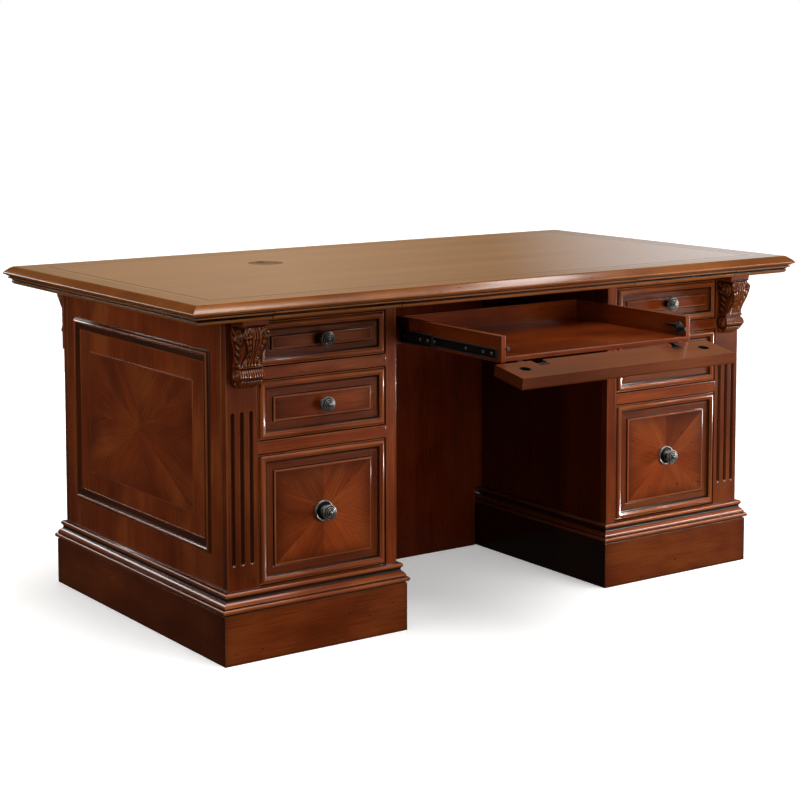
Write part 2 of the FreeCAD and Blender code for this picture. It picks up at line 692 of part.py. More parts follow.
# Catches on the tray walls and the hinge arms under its floor
catch_x = tray_inner_x[0]
catch_y = tray_front + size.catch_set_back
catch_z = hinge_z + size.cup_rise
catch_half = size.catch_arm_height / 2
nub_x = catch_x + size.catch_thickness / 2
catch = fuse("catch", [
    cylinder("catch_disc", size.catch_radius, size.catch_thickness, (catch_x, catch_y, catch_z), (1, 0, 0)),
    board("catch_arm", (catch_x, catch_x + size.catch_thickness), (catch_y, catch_y + size.catch_arm),
          (catch_z + size.catch_arm_rise - catch_half, catch_z + size.catch_arm_rise + catch_half)),
    cylinder("catch_nub", size.nub_radius, size.catch_set_back + size.nub_reach,
             (nub_x, tray_front - size.nub_reach, catch_z), (0, 1, 0)),
])
hinge_middle = tray_x[0] + size.hinge_side_margin
arm_x = (hinge_middle - size.hinge_width / 2, hinge_middle + size.hinge_width / 2)
leaf_low = floor_z[0] - size.hinge_leaf
arm_blank = prism("arm_blank", "YZ", [
    (tray_front + size.hinge_leaf_length, floor_z[0]),
    (tray_front - size.hinge_leaf, floor_z[0]),
    (hinge_y - size.knuckle_radius, hinge_z + size.knuckle_radius),
    (hinge_y - size.knuckle_radius, hinge_z - size.knuckle_radius),
    (hinge_y + size.knuckle_radius, hinge_z - size.knuckle_radius),
    (tray_front + size.hinge_leaf, leaf_low),
    (tray_front + size.hinge_leaf_length, leaf_low),
], arm_x)
arm_bore = cylinder("arm_bore", size.pin_radius + size.pin_clearance, size.hinge_width,
                    (arm_x[0], hinge_y, hinge_z), (1, 0, 0))
arm = combine("Cut", "hinge_arm", arm_blank, arm_bore)
node("tray_fittings", catch, mirror(catch, "x"), arm, mirror(arm, "x"))


# Drop front of the tray, drawn upright and then swung down about its hinge
def swung(piece):
    """A piece of the flap, swung open about the hinge."""
    turned = doc.addObject("Part::Compound", f"{piece.Name}_swung")
    turned.Links = [piece]
    turned.Placement = FreeCAD.Placement(Vector(), FreeCAD.Rotation(Vector(1, 0, 0), size.flap_open.value))
    turn, lift = cosine(size.flap_open), sine(size.flap_open)
    bind(turned, Placement__Rotation__Angle=size.flap_open)
    return put(turned, y=hinge_y - hinge_y * turn + hinge_z * lift,
               z=hinge_z - hinge_y * lift - hinge_z * turn)


flap_x = (body_x[1] + size.flap_side_gap, -body_x[1] - size.flap_side_gap)
flap_back = tray_front - size.flap_gap
flap_panel = panelled_front("flap_panel", flap_x, flap_span, flap_back, size.flap_base, size.flap_bead)
notch_x = grow(arm_x, size.hinge_side_gap)
notch = board("hinge_notch_room", notch_x, (flap_back - size.hinge_notch_depth, flap_back),
              (hinge_z, hinge_z + size.hinge_notch))
plate_z = (hinge_z + size.hinge_notch, hinge_z + size.hinge_notch + size.plate_height)
plate_y = (flap_back - size.plate_inlay, flap_back)
plate_seat = board("hinge_plate_seat", arm_x, plate_y, plate_z)
cup_seat = cylinder("cup_seat", size.cup_radius + size.pin_clearance, size.cup_depth,
                    (nub_x, flap_back, catch_z), (0, -1, 0))
flap_tools = [notch, plate_seat, cup_seat]
flap_tools += [mirror(tool, "x") for tool in flap_tools]
flap = combine("Cut", "flap_board", flap_panel, fuse("flap_rooms", flap_tools))
node("flap", swung(flap))

# Fittings that move with the flap: hinge plates, pins and catch cups
hinge_plate = board("hinge_plate", arm_x, plate_y, plate_z)
hinge_pin = cylinder("hinge_pin", size.pin_radius, notch_x[1] - notch_x[0],
                     (notch_x[0], hinge_y, hinge_z), (1, 0, 0))
cup_blank = cylinder("cup_blank", size.cup_radius, size.cup_depth, (nub_x, flap_back, catch_z), (0, -1, 0))
cup_hollow = cylinder("cup_hollow", size.cup_radius - size.cup_wall, size.cup_depth - size.cup_wall,
                      (nub_x, flap_back, catch_z), (0, -1, 0))
cup = combine("Cut", "catch_cup", cup_blank, cup_hollow)
fittings = [hinge_plate, hinge_pin, cup]
fittings += [mirror(piece, "x") for piece in fittings]
node("flap_fittings", *[swung(piece) for piece in fittings])

# Telescopic slides of the tray: outer, middle and inner members
slide_z = tray_z[0] + size.slide_rise
outer_front = tray_in + size.slide_set_back


def slide_member(name, step, height, start):
    """One bar of the left slide, counted outwards from the tray wall."""
    near = tray_x[0] - (size.slide_member + size.slide_play) * step
    return board(name, (near - size.slide_member, near), (start, start + size.slide_length),
                 (slide_z - height / 2, slide_z + height / 2))


inner_bar = slide_member("inner_bar", 0, size.inner_height, tray_front + size.inner_set_back)
middle_bar = slide_member("middle_bar", 1, size.middle_height, outer_front - size.middle_travel)
outer_bar = slide_member("outer_bar", 2, size.outer_height, outer_front)
for label, bar in (("slide_inner", inner_bar), ("slide_middle", middle_bar), ("slide_outer", outer_bar)):
    node(label, bar, mirror(bar, "x"))
spacer = board("spacer", (body_x[1], body_x[1] + size.spacer_thickness),
               (outer_front, outer_front + size.slide_length),
               (slide_z - size.outer_height / 2, slide_z + size.outer_height / 2))
node("slide_spacers", spacer, mirror(spacer, "x"))

# Test every piece, then write it
doc.recompute()
for thing in doc.Objects:
    if "Invalid" in thing.State or "Error" in thing.State:
        raise RuntimeError(f"{thing.Name} failed: {thing.State}")
for piece in nodes:
    if piece.Shape.isNull() or not piece.Shape.isValid() or not piece.Shape.Solids:
        raise RuntimeError(f"{piece.Label} has no sound shape")

os.makedirs("parts", exist_ok=True)
for piece in nodes:
    piece.Shape.exportStep(f"parts/{piece.Label}.step")
    box = piece.Shape.BoundBox
    print(f"{piece.Label}: {len(piece.Shape.Solids)} solids,",
          f"x {box.XMin:.1f} to {box.XMax:.1f},",
          f"y {box.YMin:.1f} to {box.YMax:.1f},",
          f"z {box.ZMin:.1f} to {box.ZMax:.1f}")
print(len(nodes), "pieces written")
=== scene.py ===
# %% [markdown]
# # A pedestal desk, dressed in glazed cherry
# The desk has a moulded top on two drawer pedestals, a modesty panel between them, and a tray that
# slides out under the top and whose front drops flat. The solids give the sizes and the joints. This
# lesson gives the desk its worked edges, carving, veneer, glaze and lacquer. Everything is in metres in
# the solids' own frame, so nothing has to be fitted by eye.

# %% Load the solids
import json
import math

import bmesh
import bpy
import numpy as np
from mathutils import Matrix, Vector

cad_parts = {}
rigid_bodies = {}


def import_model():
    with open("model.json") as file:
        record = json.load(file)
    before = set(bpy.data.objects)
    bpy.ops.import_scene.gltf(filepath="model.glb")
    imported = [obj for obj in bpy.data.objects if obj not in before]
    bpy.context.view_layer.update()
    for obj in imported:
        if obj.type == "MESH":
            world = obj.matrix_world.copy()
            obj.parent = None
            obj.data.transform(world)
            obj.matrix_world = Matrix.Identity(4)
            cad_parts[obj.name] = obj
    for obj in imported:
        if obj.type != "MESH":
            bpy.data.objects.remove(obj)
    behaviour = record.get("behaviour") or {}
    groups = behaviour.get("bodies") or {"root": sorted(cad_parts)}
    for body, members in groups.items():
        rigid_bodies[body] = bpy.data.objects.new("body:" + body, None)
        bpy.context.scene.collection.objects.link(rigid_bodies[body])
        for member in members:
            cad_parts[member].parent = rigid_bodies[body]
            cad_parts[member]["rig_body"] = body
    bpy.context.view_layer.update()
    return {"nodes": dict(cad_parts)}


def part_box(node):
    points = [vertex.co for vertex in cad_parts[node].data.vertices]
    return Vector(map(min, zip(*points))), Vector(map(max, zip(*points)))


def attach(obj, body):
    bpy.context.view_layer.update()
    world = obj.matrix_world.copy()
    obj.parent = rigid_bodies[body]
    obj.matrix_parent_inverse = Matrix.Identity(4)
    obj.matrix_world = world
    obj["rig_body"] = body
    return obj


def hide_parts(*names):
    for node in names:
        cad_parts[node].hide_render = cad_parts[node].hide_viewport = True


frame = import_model()

# %% [markdown]
# ## Camera
# The view is taken from in front and to the left, a little above the top, with a long lens. Upright
# edges stay nearly upright in the picture because the camera looks down only a little and its frame is
# shifted, as furniture is usually photographed. The place and lens were solved from the desk's corners.

# %% Set the camera
scene = bpy.context.scene
lens = bpy.data.cameras.new("front_left_view")
lens.lens = 86.152
lens.sensor_width = 36.0
lens.shift_x = 0.0056
lens.shift_y = -0.2
camera = bpy.data.objects.new("front_left_view", lens)
camera.location = (-2.6525, -3.5717, 1.2498)
camera.rotation_euler = (1.47575, 0.00138, -0.60979)
scene.collection.objects.link(camera)
scene.camera = camera
print("camera at", tuple(camera.location))

# %% [markdown]
# ## Floor and light
# The desk stands on a plain pale floor in a white studio. A soft key light comes from above and in
# front, two low panels fill the drawer fronts and the knee hole, and a beam warms the left side. A lamp
# far to the right rakes along the fronts and draws a line of light on every bead. Three strips are kept
# out of the matt light: they only glint on rounded edges. A low panel behind shows the back. The room is
# dark but for a warm patch at the back right, which is what the polished top mirrors at a shallow angle.
# The plain view transform keeps white white.

# %% Lay the floor
FLOOR_REACH = 30.0
FLOOR_GLOW = 0.35
scene.view_settings.view_transform = "Standard"
floor_mesh = bpy.data.meshes.new("floor")
floor_corners = np.array([(-1, -1, 0), (1, -1, 0), (1, 1, 0), (-1, 1, 0)], float) * FLOOR_REACH
floor_mesh.from_pydata(floor_corners.tolist(), [], [(0, 1, 2, 3)])
floor = bpy.data.objects.new("floor", floor_mesh)
scene.collection.objects.link(floor)
floor.visible_diffuse = False
floor.visible_glossy = False
floor_paint = bpy.data.materials.new("pale_floor")
floor_paint.use_nodes = True
floor_shader = floor_paint.node_tree.nodes["Principled BSDF"]
floor_shader.inputs["Base Color"].default_value = (0.93, 0.93, 0.93, 1.0)
floor_shader.inputs["Roughness"].default_value = 0.9
floor_shader.inputs["Emission Color"].default_value = (1.0, 1.0, 1.0, 1.0)
floor_shader.inputs["Emission Strength"].default_value = FLOOR_GLOW
floor_mesh.materials.append(floor_paint)
print("floor laid,", 2 * FLOOR_REACH, "m wide")


# %% Helpers that add shader nodes
def node(tree, kind, values=None, **settings):
    """Adds a node to a tree. Values go to inputs by name or number, as links when they are sockets."""
    made = tree.nodes.new(kind)
    for key, setting in settings.items():
        setattr(made, key, setting)
    for place, value in (values or {}).items():
        if isinstance(value, bpy.types.NodeSocket):
            tree.links.new(value, made.inputs[place])
        else:
            made.inputs[place].default_value = value
    return made


def maths(tree, kind, first, second, clamp=False):
    """The result of one Math node on two values, such as ADD or MULTIPLY."""
    made = node(tree, "ShaderNodeMath", {0: first, 1: second}, operation=kind, use_clamp=clamp)
    return made.outputs[0]


def added(tree, base, value, share):
    """A base plus a share of a value."""
    return maths(tree, "ADD", base, maths(tree, "MULTIPLY", value, share))


def spread(tree, value, start, end, to_start, to_end):
    """A value whose range from start to end is stretched to another range and held there."""
    values = {0: value, 1: start, 2: end, 3: to_start, 4: to_end}
    return node(tree, "ShaderNodeMapRange", values).outputs[0]


def mixed(tree, share, first, second):
    """One colour mixed into another by a share from 0 to 1."""
    made = node(tree, "ShaderNodeMix", {0: share, 6: first, 7: second}, data_type="RGBA")
    return made.outputs[2]


def ramp_of(tree, value, stops):
    """Colours along a value. Stops are pairs of a position and a colour, the lowest position first."""
    made = node(tree, "ShaderNodeValToRGB", {0: value})
    elements = made.color_ramp.elements
    elements[0].position = stops[0][0]
    elements[1].position = stops[-1][0]
    for position, _ in stops[1:-1]:
        elements.new(position)
    for element, (_, colour) in zip(elements, stops):
        element.color = (*colour, 1.0)
    return made.outputs[0]


print("shader helpers ready")

# %% Light the room
BRIGHT_SIDE = (0.80, 0.60, 0.0)
ROOM_GLOW = (
    (0.70, (0.020, 0.018, 0.016)),
    (0.88, (0.42, 0.29, 0.17)),
    (0.925, (0.52, 0.36, 0.22)),
    (0.962, (0.33, 0.21, 0.11)),
    (0.985, (0.90, 0.88, 0.86)),
)
room = bpy.data.worlds.new("white_room")
scene.world = room
room.use_nodes = True
sky = room.node_tree
sky.nodes.clear()
look = node(sky, "ShaderNodeTexCoord").outputs["Generated"]
facing = node(sky, "ShaderNodeVectorMath", {0: look, 1: BRIGHT_SIDE}, operation="DOT_PRODUCT")
wall = ramp_of(sky, facing.outputs["Value"], ROOM_GLOW)
seen = node(sky, "ShaderNodeLightPath").outputs["Is Camera Ray"]
glow = mixed(sky, seen, wall, (1.0, 1.0, 1.0, 1.0))
backdrop = node(sky, "ShaderNodeBackground", {"Color": glow, "Strength": 1.0})
node(sky, "ShaderNodeOutputWorld", {"Surface": backdrop.outputs[0]})
print("room of", len(ROOM_GLOW), "glows, brightest towards", BRIGHT_SIDE)

# %% Hang the lamps
WARM_WHITE = (1.0, 0.985, 0.965)


def placed(lamp_data, place, target, diffuse=True, glossy=True):
    """A lamp aimed at a target. It can be kept out of the matt light or of mirror images."""
    lamp = bpy.data.objects.new(lamp_data.name, lamp_data)
    lamp.location = place
    away = np.subtract(target, place)
    flat = math.hypot(away[0], away[1])
    lamp.rotation_euler = (math.atan2(flat, -away[2]), 0.0, math.atan2(-away[0], away[1]))
    lamp.visible_camera = False
    lamp.visible_diffuse = diffuse
    lamp.visible_glossy = glossy
    scene.collection.objects.link(lamp)


def panel(name, width, height, watts):
    """A rectangular panel of slightly warm light."""
    made = bpy.data.lights.new(name, "AREA")
    made.shape = "RECTANGLE"
    made.size = width
    made.size_y = height
    made.energy = watts
    made.color = WARM_WHITE
    return made


placed(panel("left_panel", 0.9, 0.9, 8), (-2.6, -0.2, 1.1), (-0.75, 0.15, 0.55))
placed(panel("right_rake", 0.8, 0.5, 190), (5.0, -2.0, 0.33), (-0.3, -0.2, 0.45))
placed(panel("low_front_panel", 0.9, 0.6, 9), (0.45, -1.35, 0.42), (0.05, -0.2, 0.40), glossy=False)
placed(panel("middle_front_panel", 1.2, 0.8, 12), (0.3, -2.6, 0.85), (-0.1, -0.2, 0.55), glossy=False)
placed(panel("overhead_strip", 1.6, 0.3, 9), (1.5, -0.3, 2.6), (0.0, -0.2, 0.5), diffuse=False)
placed(panel("back_left_strip", 2.6, 0.25, 22), (-2.3, 3.1, 1.7), (-0.75, 0.2, 0.5), diffuse=False)
placed(panel("front_right_strip", 1.8, 0.15, 42), (3.4, -2.6, 2.2), (0.3, -0.2, 0.5), diffuse=False)
placed(panel("rear_fill", 2.4, 0.9, 45), (0.4, 3.4, 0.50), (0.0, 0.5, 0.40), glossy=False)
beam = bpy.data.lights.new("side_beam", "SPOT")
beam.energy = 125
beam.spot_size = 0.44
beam.spot_blend = 0.6
beam.shadow_soft_size = 0.25
placed(beam, (-3.2, -0.8, 0.95), (-0.73, 0.25, 0.54), glossy=False)
key = bpy.data.lights.new("soft_key", "SUN")
key.energy = 3.5
key.angle = 0.9
key.color = WARM_WHITE
placed(key, (0.3, -0.7, 3.0), (0.0, 0.0, 0.0))
print("lights:", [light.name for light in bpy.data.lights])

# %% [markdown]
# ## Cherry
# The wood is cherry veneer and solid cherry, stained red-brown. Real grain is a stack of long thin
# layers, so the pattern is noise stretched along the grain: slow bands for the figure, fine threads for
# the fibres and short dark dashes for the pores. A dark glaze was wiped on and stays in the hollows, and
# the ridges are rubbed back to a paler tone. The darkening of the hollows is also painted shade, laid
# deepest in quirks, coves, grooves and under ledges. Both are read from marks that each worked piece
# carries on its own points, because only the shape knows where its hollows are. The top has a border
# behind a dark inlaid line. It is flush, so it is drawn by the distance to the nearest edge, with the
# grain turned at the two ends.

# %% Find the border of the top
TOP_HALF_LENGTH, TOP_HALF_DEPTH, TOP_MIDDLE = 0.7835, 0.4015, 0.1739
BORDER = 0.020
INLAY_HALF, MITRE_HALF = 0.0016, 0.0006


def near(tree, first, second, reach):
    """1 where two values differ by less than reach, and 0 elsewhere."""
    return node(tree, "ShaderNodeMath", {0: first, 1: second, 2: reach}, operation="COMPARE").outputs[0]


def top_border(tree, x, y):
    """Shares from 0 to 1 on the top: in the end borders, and on the lines of the inlay and the mitres.

    A point's distance to the edge is the lesser of its distances to the end and to the long side."""
    to_end = maths(tree, "SUBTRACT", TOP_HALF_LENGTH, maths(tree, "ABSOLUTE", x, 0.0))
    off_middle = maths(tree, "ABSOLUTE", maths(tree, "SUBTRACT", y, TOP_MIDDLE), 0.0)
    to_side = maths(tree, "SUBTRACT", TOP_HALF_DEPTH, off_middle)
    to_edge = maths(tree, "MINIMUM", to_end, to_side)
    border = maths(tree, "LESS_THAN", to_edge, BORDER)
    at_end = maths(tree, "MULTIPLY", border, maths(tree, "LESS_THAN", to_end, to_side))
    inlay = near(tree, to_edge, BORDER, INLAY_HALF)
    mitre = near(tree, to_end, to_side, MITRE_HALF)
    return at_end, maths(tree, "MAXIMUM", inlay, maths(tree, "MULTIPLY", mitre, border))


print("border", BORDER, "m wide")


# %% Lay out the grain
def grain_space(tree, along):
    """Coordinates in metres with the first along the grain, and the share of dark lines, if any.

    They are a piece's own grain map, or object axes, or those of the top with its border."""
    if along == "map":
        return node(tree, "ShaderNodeUVMap", uv_map="grain").outputs[0], None
    place = node(tree, "ShaderNodeTexCoord").outputs["Object"]
    x, y, z = node(tree, "ShaderNodeSeparateXYZ", {0: place}).outputs
    if along == "top":
        at_end, lines = top_border(tree, x, y)
        across = node(tree, "ShaderNodeCombineXYZ", {0: y, 1: x, 2: z}).outputs[0]
        turned_grain = node(tree, "ShaderNodeMix", {0: at_end, 4: place, 5: across}, data_type="VECTOR")
        return turned_grain.outputs[1], lines
    order = {"x": (x, y, z), "y": (y, x, z), "z": (z, x, y)}[along]
    return node(tree, "ShaderNodeCombineXYZ", dict(enumerate(order))).outputs[0], None


def stretched_noise(tree, space, stretch, detail=3.0, distortion=0.0):
    """Noise whose grain-wise and cross-wise repeats per metre are given by stretch."""
    scaled = node(tree, "ShaderNodeMapping", {"Vector": space, "Scale": stretch}).outputs[0]
    values = {"Vector": scaled, "Scale": 1.0, "Detail": detail, "Distortion": distortion}
    return node(tree, "ShaderNodeTexNoise", values).outputs[0]


def mark(tree, name):
    """A mark that a worked piece carries, such as its glaze, which is also painted shade. It is 0 where
    there is none.
    """
    return node(tree, "ShaderNodeAttribute", attribute_name=name).outputs["Fac"]


print("grain helpers ready")

# %% Mix the cherry
# The dark of glaze, pores, nicks and inlay, and of the painted shade laid in hollows.
GLAZE_AND_SHADE = (0.0085, 0.0032, 0.0011, 1.0)
SMOKE = (0.045, 0.0105, 0.0022, 1.0)
RUBBED = (0.40, 0.150, 0.055, 1.0)
TONE_PLACES = (0.40, 0.58, 0.78)
CASE_DRIFT = (3.1, 4.3, 4.3)


def cherry(name, along, tones, gloss=0.23, coat=0.45, shine=0.5, drift=CASE_DRIFT, smoked=0.50):
    """Stained cherry. Colour runs through three tones by figure + fibre + stain, then glaze with painted
    shade, and rubbing.

    Drift gives the repeats per metre of the stain, along and across the grain, and smoked the share of
    the smoky clouds."""
    finish = bpy.data.materials.new(name)
    finish.use_nodes = True
    tree = finish.node_tree
    shader = tree.nodes["Principled BSDF"]
    space, lines = grain_space(tree, along)
    figure = stretched_noise(tree, space, (1.3, 17.0, 17.0), 1.5, 1.0)
    fibre = stretched_noise(tree, space, (9.0, 430.0, 430.0), 3.0)
    pore = stretched_noise(tree, space, (55.0, 1500.0, 1500.0), 2.0)
    stain = stretched_noise(tree, space, drift, 4.0)
    cloud = stretched_noise(tree, space, (5.0, 11.0, 11.0), 5.0, 0.8)
    nick = stretched_noise(tree, space, (45.0, 150.0, 150.0), 1.0)
    shade = maths(tree, "MULTIPLY", figure, 0.22)
    shade = added(tree, shade, fibre, 0.28)
    shade = added(tree, shade, stain, 0.66)
    wood = ramp_of(tree, shade, tuple(zip(TONE_PLACES, tones)))
    dash = spread(tree, pore, 0.60, 0.72, 0.0, 0.38)
    wood = mixed(tree, dash, wood, GLAZE_AND_SHADE)
    wood = mixed(tree, spread(tree, cloud, 0.52, 0.78, 0.0, smoked), wood, SMOKE)
    wood = mixed(tree, spread(tree, nick, 0.735, 0.765, 0.0, 0.7), wood, GLAZE_AND_SHADE)
    if lines is not None:
        wood = mixed(tree, maths(tree, "MULTIPLY", lines, 0.85), wood, GLAZE_AND_SHADE)
    # A face's tone scales its colour: each member's own tone, a painted sheen on veneer wedges, and
    # painted shade or light where a side or a piece is made darker or lighter for the light it gets.
    tone_and_shading = maths(tree, "ADD", mark(tree, "tone_and_shading"), 1.0)
    wood = node(tree, "ShaderNodeVectorMath", {0: wood, "Scale": tone_and_shading}, operation="SCALE").outputs[0]
    rim = maths(tree, "POWER", mark(tree, "rim"), 5.0)
    wood = mixed(tree, maths(tree, "MULTIPLY", rim, 0.55), wood, GLAZE_AND_SHADE)
    uneven = spread(tree, stain, 0.3, 0.7, 0.65, 1.15)
    rubbed = maths(tree, "MULTIPLY", mark(tree, "ridge"), maths(tree, "MULTIPLY", uneven, 0.24))
    wood = mixed(tree, rubbed, wood, RUBBED)
    # Hollows take the dark glaze, which is also painted shade there.
    glaze_and_shade_share = maths(tree, "MULTIPLY", mark(tree, "glaze_and_shade"), uneven, clamp=True)
    wood = mixed(tree, glaze_and_shade_share, wood, GLAZE_AND_SHADE)
    dull = maths(tree, "ADD", maths(tree, "MULTIPLY", stain, 0.10), gloss - 0.05)
    dull = added(tree, dull, glaze_and_shade_share, 0.06)
    relief = maths(tree, "SUBTRACT", maths(tree, "MULTIPLY", fibre, 0.5), dash)
    bump = node(tree, "ShaderNodeBump", {"Height": relief, "Strength": 0.22, "Distance": 0.0002})
    shader.inputs["Specular IOR Level"].default_value = shine
    shader.inputs["Coat Weight"].default_value = coat
    shader.inputs["Coat Roughness"].default_value = 0.10
    if lines is not None:
        dull = added(tree, dull, lines, 0.5)
        bare = maths(tree, "SUBTRACT", coat, maths(tree, "MULTIPLY", lines, coat))
        tree.links.new(bare, shader.inputs["Coat Weight"])
    tree.links.new(wood, shader.inputs["Base Color"])
    tree.links.new(dull, shader.inputs["Roughness"])
    tree.links.new(bump.outputs[0], shader.inputs["Normal"])
    return finish


print("glaze_and_shade", GLAZE_AND_SHADE[:3], "over", len(TONE_PLACES), "tones")

# %% Stain the woods
CASE_TONES = ((0.075, 0.0096, 0.0016), (0.170, 0.0278, 0.0042), (0.305, 0.0720, 0.0125))
case_cherry = cherry("case_cherry", "map", CASE_TONES)
case_along = {axis: cherry(f"case_cherry_along_{axis}", axis, CASE_TONES) for axis in "xy"}
TOP_TONES = ((0.130, 0.034, 0.0062), (0.205, 0.060, 0.0110), (0.290, 0.098, 0.0210))
edge_cherry = cherry("edge_cherry", "map", TOP_TONES, 0.20)
top_cherry = cherry("top_cherry", "top", TOP_TONES, 0.14, drift=(0.9, 11.0, 11.0), smoked=0.2)
# The panels deep in the knee hole take a much darker, redder copy of the cherry: painted shade.
SHADED_INNER_TONES = ((0.040, 0.0042, 0.0006), (0.085, 0.0105, 0.0014), (0.130, 0.0210, 0.0034))
shaded_inner_cherry = cherry("shaded_inner_cherry", "z", SHADED_INNER_TONES)
TRAY_TONES = ((0.080, 0.0100, 0.0011), (0.180, 0.0270, 0.0030), (0.310, 0.0680, 0.0100))
tray_cherry = cherry("tray_cherry", "map", TRAY_TONES)
# The drop front takes a darker copy of the case cherry: painted shade on its upward face.
SHADED_FLAP_TONES = ((0.070, 0.0110, 0.0018), (0.125, 0.0240, 0.0042), (0.200, 0.0500, 0.0110))
shaded_flap_cherry = cherry("shaded_flap_cherry", "x", SHADED_FLAP_TONES, 0.34, 0.05, 0.2)
BOX_TONES = ((0.30, 0.165, 0.075), (0.39, 0.235, 0.115), (0.47, 0.305, 0.165))
box_wood = cherry("drawer_box_wood", "y", BOX_TONES, 0.45)
print("woods for the case:", case_cherry.name, [wood.name for wood in case_along.values()])
print("other woods:", edge_cherry.name, top_cherry.name, shaded_inner_cherry.name, tray_cherry.name)
print("woods of moving parts:", shaded_flap_cherry.name, box_wood.name)

# %% [markdown]
# ## Metal
# Knobs are cast and finished as old bronze: nearly black, with the high rings rubbed bright by hands. The
# slides, hinges and catches are black steel, and the disc in the top is a brown cap with a faint lustre.
# All are the same idea as the glazed wood: a dark coat, and a mark on the points that lets the bare metal
# show on ridges.


# %% Make the metal finishes
def rubbed_metal(name, coat, bare, rough, grain, worn=0.35, metallic=0.85):
    """A dark coat over bare metal, which shows on ridges and, by the share worn, in cloudy wear."""
    finish = bpy.data.materials.new(name)
    finish.use_nodes = True
    tree = finish.node_tree
    shader = tree.nodes["Principled BSDF"]
    place = node(tree, "ShaderNodeTexCoord").outputs["Object"]
    cloud = node(tree, "ShaderNodeTexNoise", {"Vector": place, "Scale": grain, "Detail": 4.0}).outputs[0]
    wear = spread(tree, cloud, 0.35, 0.75, 0.0, worn)
    shown = maths(tree, "ADD", wear, maths(tree, "MULTIPLY", mark(tree, "ridge"), 0.75), clamp=True)
    shown = maths(tree, "SUBTRACT", shown, mark(tree, "glaze_and_shade"), clamp=True)
    dull = spread(tree, cloud, 0.3, 0.7, rough - 0.08, rough + 0.1)
    bump = node(tree, "ShaderNodeBump", {"Height": cloud, "Strength": 0.15, "Distance": 0.0003})
    tree.links.new(mixed(tree, shown, (*coat, 1.0), (*bare, 1.0)), shader.inputs["Base Color"])
    tree.links.new(dull, shader.inputs["Roughness"])
    tree.links.new(bump.outputs[0], shader.inputs["Normal"])
    shader.inputs["Metallic"].default_value = metallic
    shader.inputs["Specular IOR Level"].default_value = 0.5 * metallic
    return finish


old_bronze = rubbed_metal("old_bronze", (0.020, 0.019, 0.018), (0.32, 0.305, 0.285), 0.36, 260.0)
black_steel = rubbed_metal(
    "black_steel", (0.006, 0.006, 0.006), (0.40, 0.39, 0.38), 0.50, 180.0, worn=0.03, metallic=0.3
)
brown_cap = rubbed_metal("brown_cap", (0.130, 0.066, 0.034), (0.20, 0.12, 0.07), 0.30, 90.0, metallic=0.2)
print("metal finishes:", old_bronze.name, black_steel.name, brown_cap.name)

# %% [markdown]
# ## Dress the plain boards
# Flat boards that already have the right shape keep their solids and only take a finish. What matters is
# the way their grain runs: along the length of the board. The other solids are replaced further down.

# %% Give the solids a finish
PLAIN_FINISHES = {
    "top_panel": top_cherry,
    "cable_disc": brown_cap,
    "inner_panel": shaded_inner_cherry,
    "modesty_panel": shaded_inner_cherry,
    "slide_spacers": case_along["y"],
    "top_drawer_box": box_wood,
    "middle_drawer_box": box_wood,
    "file_drawer_box": box_wood,
    "flap_fittings": black_steel,
}
for name, solid in frame["nodes"].items():
    stem = name.removesuffix("_left").removesuffix("_right")
    solid.data.materials.clear()
    solid.data.materials.append(PLAIN_FINISHES.get(stem, case_along["x"]))
print(len(frame["nodes"]), "solids dressed")

# %% [markdown]
# ## How a moulding is worked
# A shaper's cutter has a profile, and the wood is pushed past it. In the same way each moulding here is a
# profile, drawn in millimetres, carried round a rectangle. Modelling by extruding and bevelling faces
# would give the same shape, but a drawn profile also tells how far each point stands proud of its
# neighbours, and that is where glaze is wiped off and where it stays, darkened with painted shade.


# %% Draw a profile
def arc(start, end, bulge, count=14):
    """A circle's arc from start to end whose middle stands off the chord by bulge, left of the way.

    Radius is (half chord squared + bulge squared) / (2 bulge), and the angle is 4 atan(bulge / half)."""
    start, end = np.array(start, float), np.array(end, float)
    half = np.hypot(*(end - start)) / 2
    left = np.array([start[1] - end[1], end[0] - start[0]]) / (2 * half)
    radius = (half**2 + bulge**2) / (2 * bulge)
    middle = (start + end) / 2 + left * (bulge - radius)
    angle = np.linspace(0, -4 * math.atan(bulge / half), count + 1)
    turn = np.exp(1j * angle) * complex(*(start - middle))
    return middle + np.stack([turn.real, turn.imag], 1)


def profile(*runs):
    """Points and arcs, one after another, as one array."""
    return np.vstack([np.atleast_2d(np.array(run, float)) for run in runs])


print("an arc has", len(arc((0, 0), (10, 0), 2)), "points")

# %% Work a profile
MM = 0.001
STEP = 0.35
NEAR_REACH, WIDE_REACH = 1.5, 4.0
NEAR_FULL, WIDE_FULL = 0.30, 1.6


def running_mean(rows, reach, closed=False):
    """Each row averaged with its neighbours under a bell curve that is reach rows wide."""
    count = int(3 * reach) + 2
    bell = np.exp(-0.5 * (np.arange(-count, count + 1) / reach) ** 2)
    if closed:
        padded = np.pad(rows, ((count, count), (0, 0)), mode="wrap")
    else:
        padded = np.pad(rows, ((count, count), (0, 0)), mode="reflect", reflect_type="odd")
    return np.stack([np.convolve(column, bell / bell.sum(), "valid") for column in padded.T], 1)


